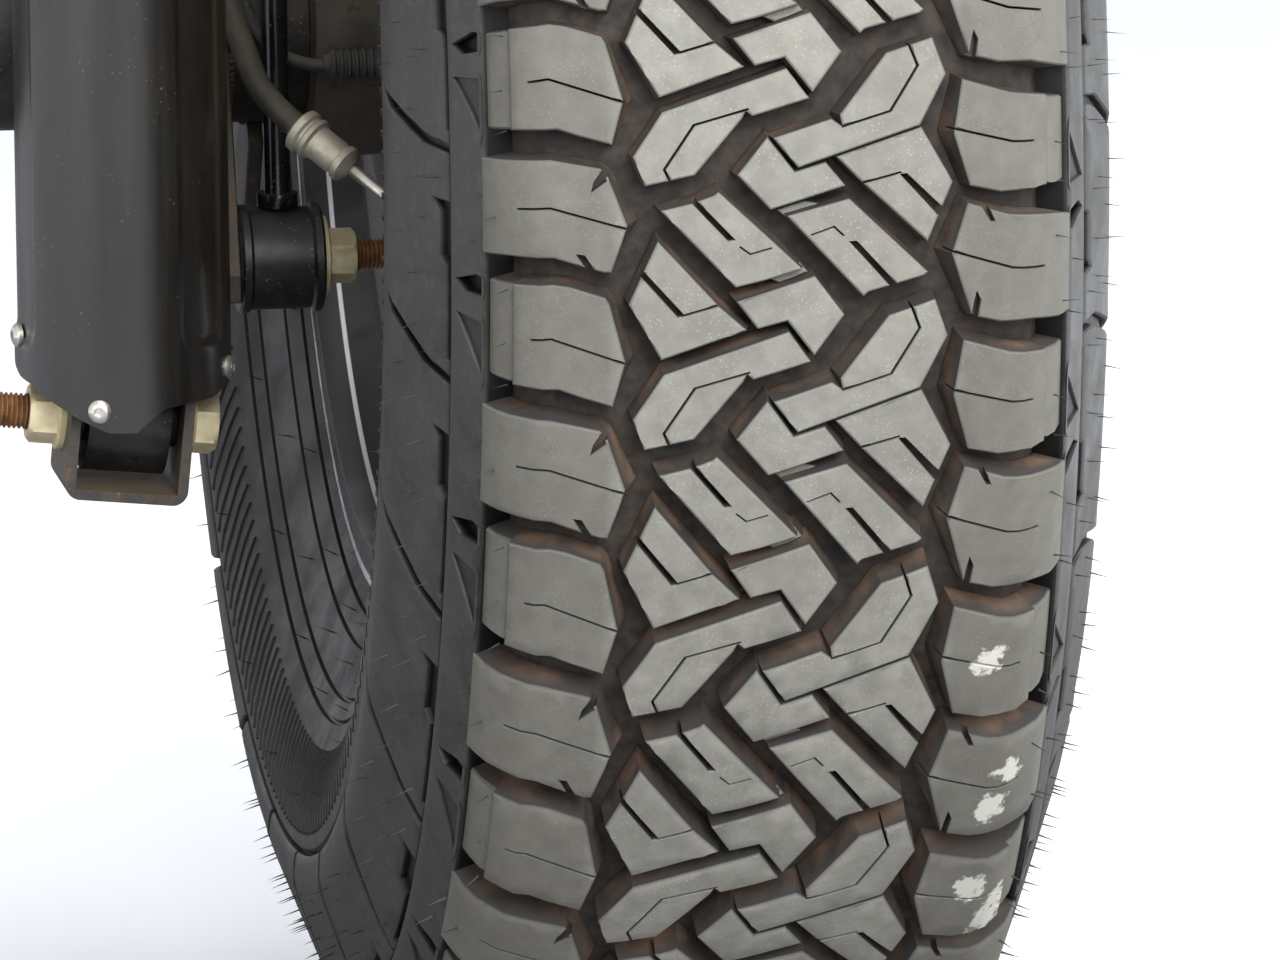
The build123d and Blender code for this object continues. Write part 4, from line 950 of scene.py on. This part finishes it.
# The lower edge, as (degrees from the rear towards outboard, height over the bolt)
GUARD_EDGE = ((-96, 24), (-78, 19.5), (-66, 18), (-42, 10.5), (-31, 6.6), (-15, 1.6), (0, 1.4), (4, 4),
              (16, 10.2), (28, 11.3), (48, 11.8), (64, 14.8), (76, 20), (96, 34))
CHANNELS = ((-97.0, -62.0), (27.0, 59.0))     # two pressed channels, open at the top
CHANNEL_LOW = 34.0
CHANNEL_DEPTH = 1.5
CHANNEL_BEND = 6.0                     # radius of the channels' edge and corners
CHANNEL_SLOPE = 0.45
CHANNEL_FOOT = 8.0                     # height of the bend at a channel's lower end
GUARD_SCREWS = ((-19.5, 10), (68.2, 21.2), (-81.4, 35.3), (-19.5, 300), (68.2, 300), (-81.4, 300))


def guard(finish):
    """Curved guard behind the damper: a shell of one wall with two pressed channels, and its screws.

    Its lower edge follows GUARD_EDGE, and a channel's depth falls off smoothly over its edge. The
    stored depth is the share of road dirt, most at the outboard side and the top.
    """
    angle = np.radians(np.linspace(-GUARD_HALF, GUARD_HALF, GUARD_COLUMNS))
    share = np.linspace(0, 1, GUARD_ROWS) ** GUARD_GATHER
    low = np.interp(np.degrees(angle), *np.array(GUARD_EDGE, float).T)
    z = low + share[:, None] * (GUARD_TOP - low)
    degrees = np.broadcast_to(np.degrees(angle), z.shape)
    relief = np.zeros(z.shape)
    for start, end in CHANNELS:
        middle, reach = (start + end) / 2, (end - start) / 2
        across = np.maximum(np.abs(degrees - middle) - reach + CHANNEL_BEND, 0)
        under = np.maximum(CHANNEL_LOW + CHANNEL_FOOT - z, 0) * CHANNEL_BEND / CHANNEL_FOOT
        gap = CHANNEL_BEND - np.hypot(across, under)
        relief -= CHANNEL_DEPTH / (1 + np.exp(-gap / CHANNEL_SLOPE))
    wall = np.array([0, -GUARD_WALL])
    radius = GUARD_R + relief + wall[:, None, None]
    points = np.stack([SHOCK_AT[0] + radius * np.sin(angle), SHOCK_AT[1] - radius * np.cos(angle),
                       np.broadcast_to(SHOCK_AT[2] + z, radius.shape)], axis=-1)
    # the outer sheet, then the inner one backwards, in one closed band of rows
    band = np.concatenate([points[0], points[1, ::-1]], axis=0)
    rows, columns = band.shape[:2]
    faces = quads(rows, columns, close_rows=True)[:, ::-1]
    n = np.arange(rows // 2 - 1)
    caps = []
    for column, turn in ((0, 1), (columns - 1, -1)):
        corner = np.stack([n, n + 1, rows - 2 - n, rows - 1 - n], axis=1) * columns + column
        caps.append(corner[:, ::turn])
    dirt = np.interp(np.degrees(angle), (30, 50, 75, 96), (0.15, 0.35, 1, 1))
    dirt = dirt * np.interp(z, (40, 260), (0.35, 1))
    dirt = np.concatenate([dirt, dirt[::-1]], axis=0)
    made = piece("shock_guard_shell", "axle_end", band.reshape(-1, 3), [faces, *caps], guard_coat(),
                 dirt.ravel())
    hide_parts("shock_guard")
    head = [(-1.0, 0), (-1.0, 4.4), (0.7, 4.6), (1.7, 3.9), (2.4, 2.6), (2.4, 1.9, 3.4), (0.9, 1.9, 3.4),
            (0.9, 0)]
    screws = []
    for turn, height in GUARD_SCREWS:
        out = (math.sin(math.radians(turn)), -math.cos(math.radians(turn)), 0)
        at = [a + GUARD_R * o for a, o in zip(SHOCK_AT, out)]
        screws.append(turned(head, (at[0], at[1], SHOCK_AT[2] + height), out, segments=36))
    turned_piece("guard_screw_heads", "axle_end", screws, finish["screw"], ("guard_screws",))


TUBE_R = 41.3
BEAD_R = 2.4
BEAD_LIFT = 0.6            # of the bead's middle over the tube
RIPPLE = 2.6               # length of one ripple along the bead
RIPPLE_SHARE = 0.16
BEAD_STEP = 0.6            # length of one row of the bead's mesh
BEAD_SIDES = 10
# Weld beads where the plates meet the axle tube: place along it, and from and to, in degrees
WELDS = ((193.5, 186, 266), (198.6, 186, 266), (237.4, 186, 266), (242.5, 186, 266), (262.4, 190, 264),
         (269.6, 190, 264), (224.6, -84, 4), (231.6, -84, 4), (280.6, -84, 4), (287.6, -84, 4))


def welds(finish):
    """Rippled beads of weld: a bar bent round the tube, its radius swelling at each ripple and
    falling to nothing at both ends."""
    points, faces, base = [], [], 0
    around = np.linspace(0, 2 * math.pi, BEAD_SIDES, endpoint=False)
    for x, start, end in WELDS:
        length = math.radians(end - start) * TUBE_R
        count = int(length / BEAD_STEP)
        share = np.linspace(0, 1, count)
        turn = np.radians(start + share * (end - start))
        ends = np.minimum(1, 9 * np.sqrt(share * (1 - share) + 1e-5))
        ripple = BEAD_R * (1 + RIPPLE_SHARE * np.sin(share * length * 2 * math.pi / RIPPLE)) * ends
        reach = TUBE_R + BEAD_LIFT + ripple[:, None] * np.sin(around)
        ring = np.stack([x + ripple[:, None] * np.cos(around), reach * np.cos(turn)[:, None],
                         reach * np.sin(turn)[:, None]], axis=-1)
        points.append(ring.reshape(-1, 3))
        faces.append(quads(count, len(around), close_columns=True)[:, ::-1] + base)
        base += count * len(around)
    made = piece("weld_beads", "axle_end", np.concatenate(points), [np.concatenate(faces)], finish["weld"])


# Routes of the hose and the cable and their radius, in millimetres, and their length in metres
HOSE_ROUTE = ((250.8, -63, 94), (250.8, -63, 72.7), (257.2, -72, 45.3), (264.6, -84, 19.6),
              (268, -97, 4.6), (273.4, -113.8, -13.5), (286.5, -124, -23.9))
CABLE_ROUTE = ((304, -62.5, -9.8), (298, -62.5, -9.8), (286.5, -49.5, -6.4), (278.2, -51, 4.6),
               (272.3, -55, 22.6), (270.6, -55, 46), (270.6, -55, 69))
HOSE_R = 5.0
CABLE_R = 2.4


def flexible(name, route, radius, material, replaced):
    """A hose or cable along a smooth curve that its route's points draw, held at both ends."""
    curve = bpy.data.curves.new(name, "CURVE")
    curve.dimensions = "3D"
    curve.resolution_u = 24
    curve.bevel_depth = radius * MM
    curve.bevel_resolution = 5
    curve.use_fill_caps = True
    line = curve.splines.new("NURBS")
    line.points.add(len(route) - 1)
    line.points.foreach_set("co", np.column_stack([np.array(route) * MM, np.ones(len(route))]).ravel())
    line.order_u = 3
    line.use_endpoint_u = True
    curve.materials.append(material)
    made = added(name, curve)
    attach(made, "axle_end")
    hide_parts(replaced)


# Finish of each CAD node that stays, with the radius of its worn edges in millimetres
NODES = {
    "axle_tube": ("paint", 0.8), "bearing_housing": ("iron", 1.2), "caliper_bracket": ("iron", 1.0),
    "brake_caliper": ("iron", 3.0), "brake_pads": ("iron", 0.6), "shock_bracket": ("edge", 0.8),
    "shock_bushing": ("bush", 0.6), "shock_tube": ("bush", 0.8), "shock_rod": ("chrome", 0.5),
    "shock_top_bushing": ("bush", 0.8), "guard_clamps": ("paint", 0.4), "link_bracket": ("edge", 0.8),
    "link_rod": ("rod", 0.8), "control_arm_bracket": ("edge", 0.8), "axle_brake_pipe": ("line", 0.3),
    "brake_line": ("line", 0.3), "hose_tab": ("edge", 0.5), "cable_tab": ("edge", 0.5),
    "brake_shield": ("shield", 0.4), "hub_shaft": ("iron", 0.8), "valve_stem": ("bush", 0.6),
    "centre_cap": ("wheel", 1.2), "rim": ("wheel", 1.2), "brake_disc": ("disc", 0.8),
}


JOINED = 0.01              # corners less than this apart, in millimetres, become one
ROUNDED_OVER = 40          # edges that turn by more than this, in degrees, are rounded


def dress(finish):
    """Give each CAD node that stays its finish and rounded edges."""
    for name, (key, edge) in NODES.items():
        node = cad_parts[name]
        for place in node.material_slots:
            place.material = finish[key]
        joined = node.modifiers.new("joined", "WELD")
        joined.merge_threshold = JOINED * MM
        rounded = node.modifiers.new("rounded", "BEVEL")
        rounded.width = edge * MM
        rounded.segments = 2
        rounded.limit_method = "ANGLE"
        rounded.angle_limit = math.radians(ROUNDED_OVER)
        rounded.harden_normals = True


def axle_end():
    """Everything but the tyre."""
    finish = {key: dusty(*row[:-1], **row[-1]) for key, row in FINISHES.items()}
    finish.update(wheel=wheel_black(), disc=disc_face())
    dress(finish)
    fasteners(finish)
    guard(finish)
    welds(finish)
    flexible("brake_hose_line", HOSE_ROUTE, HOSE_R, finish["hose"], "brake_hose")
    flexible("parking_cable_line", CABLE_ROUTE, CABLE_R, finish["boot"], "parking_cable")


# Camera, light and floor

CAMERA_AT = (-1138.4, -7970.1, 1329.2)     # from the wheel's centre
CAMERA_YAW = 8.17
CAMERA_PITCH = -10.696
CAMERA_ROLL = -0.749
CAMERA_LENS = 582.05
FLOOR_DROP = 4.0
FLOOR_REACH = 30.0         # half of the floor's side, in metres
SHADE_ENDS = (1.0, 1.3)    # distance to each side, in metres, over which its shade turns bright
WHEEL_AIM = (WHEEL_X * MM, 0, -0.15)
# Lamps, as (name, place, aim, size, power) in metres and watts
LAMPS = (
    ("rear", (0.9, -3.6, 1.9), WHEEL_AIM, 2.6, 215),
    ("sky", (0.6, -1.0, 3.4), WHEEL_AIM, 3.0, 60),
    ("side", (3.4, -0.2, 1.2), WHEEL_AIM, 2.0, 80),
    ("inboard", (-2.3, -2.7, 0.9), (-0.1, -0.4, 0), 0.9, 26),
)
WORLD_LIGHT = 0.3          # the world's share of the light, where it isn't seen or mirrored


def camera():
    """The photograph's long lens, behind and inboard of the wheel and looking down on it."""
    yaw, pitch, roll = (math.radians(a) for a in (CAMERA_YAW, CAMERA_PITCH, CAMERA_ROLL))
    ahead = np.array([math.sin(yaw) * math.cos(pitch), math.cos(yaw) * math.cos(pitch), math.sin(pitch)])
    right = np.array([math.cos(yaw), -math.sin(yaw), 0])
    up = np.cross(right, ahead)
    right, up = (math.cos(roll) * right + math.sin(roll) * up,
                 -math.sin(roll) * right + math.cos(roll) * up)
    lens = bpy.data.cameras.new("camera")
    lens.lens = CAMERA_LENS
    lens.sensor_width = 36
    made = added("camera", lens)
    at = (np.array(CAMERA_AT) + [WHEEL_X, 0, 0]) * MM
    rows = [[*row, p] for row, p in zip(np.array([right, up, -ahead]).T, at)]
    made.matrix_world = Matrix(rows + [[0, 0, 0, 1]])
    bpy.context.scene.camera = made


def floor():
    """A wide floor just under the tyre, white where it is seen, with the object's soft shadow. What
    it throws back is shaded round the wheel and bright at both sides."""
    z = (tyre_low.z / MM - FLOOR_DROP) * MM
    mesh = bpy.data.meshes.new("floor")
    sides = ((-1, -1), (1, -1), (1, 1), (-1, 1))
    corners = [(x * FLOOR_REACH, y * FLOOR_REACH, z) for x, y in sides]
    mesh.from_pydata(corners, [], [(0, 1, 2, 3)])
    f = Finish("floor", rough=0.8)
    path = f.tree.nodes.new("ShaderNodeLightPath")
    seen = path.outputs["Is Camera Ray"]
    aside = f.span(f.maths("ABSOLUTE", f.axis("X"), 0.0), *SHADE_ENDS)
    sunlit = f.times(path.outputs["Is Glossy Ray"], aside)
    f.put("Base Color", f.blend(f.maths("MAXIMUM", seen, sunlit), (150, 150, 153), (244, 246, 250)))
    f.put("Emission Color", srgb(236, 243, 250))
    glow = f.maths("ADD", f.times(seen, 0.3), f.times(sunlit, 0.9))
    f.put("Emission Strength", glow)
    mesh.materials.append(f.made)
    added("floor", mesh)


def lamp(name, at, aim, size, power):
    """A square soft lamp at a place, turned to its aim, in metres and watts."""
    light = bpy.data.lights.new(name, "AREA")
    light.size = size
    light.energy = power
    made = added(name, light)
    made.location = at
    made.rotation_euler = (Vector(aim) - Vector(at)).to_track_quat("-Z", "Y").to_euler()


def light():
    """Soft daylight from above and behind, and a world that is white where it is seen or mirrored."""
    world = bpy.data.worlds.new("world")
    world.use_nodes = True
    bpy.context.scene.world = world
    tree = world.node_tree
    background = tree.nodes["Background"]
    path = tree.nodes.new("ShaderNodeLightPath")
    seen = tree.nodes.new("ShaderNodeMath")
    seen.operation = "MAXIMUM"
    tree.links.new(path.outputs["Is Camera Ray"], seen.inputs[0])
    tree.links.new(path.outputs["Is Glossy Ray"], seen.inputs[1])
    strength = tree.nodes.new("ShaderNodeMapRange")
    tree.links.new(seen.outputs[0], strength.inputs["Value"])
    strength.inputs["To Min"].default_value = WORLD_LIGHT
    strength.inputs["To Max"].default_value = 1.0
    tree.links.new(strength.outputs["Result"], background.inputs["Strength"])
    background.inputs["Color"].default_value = srgb(250, 251, 255)
    for row in LAMPS:
        lamp(*row)


camera()
light()
floor()
tyre_pieces()
axle_end()
bpy.context.scene.view_settings.view_transform = "Standard"
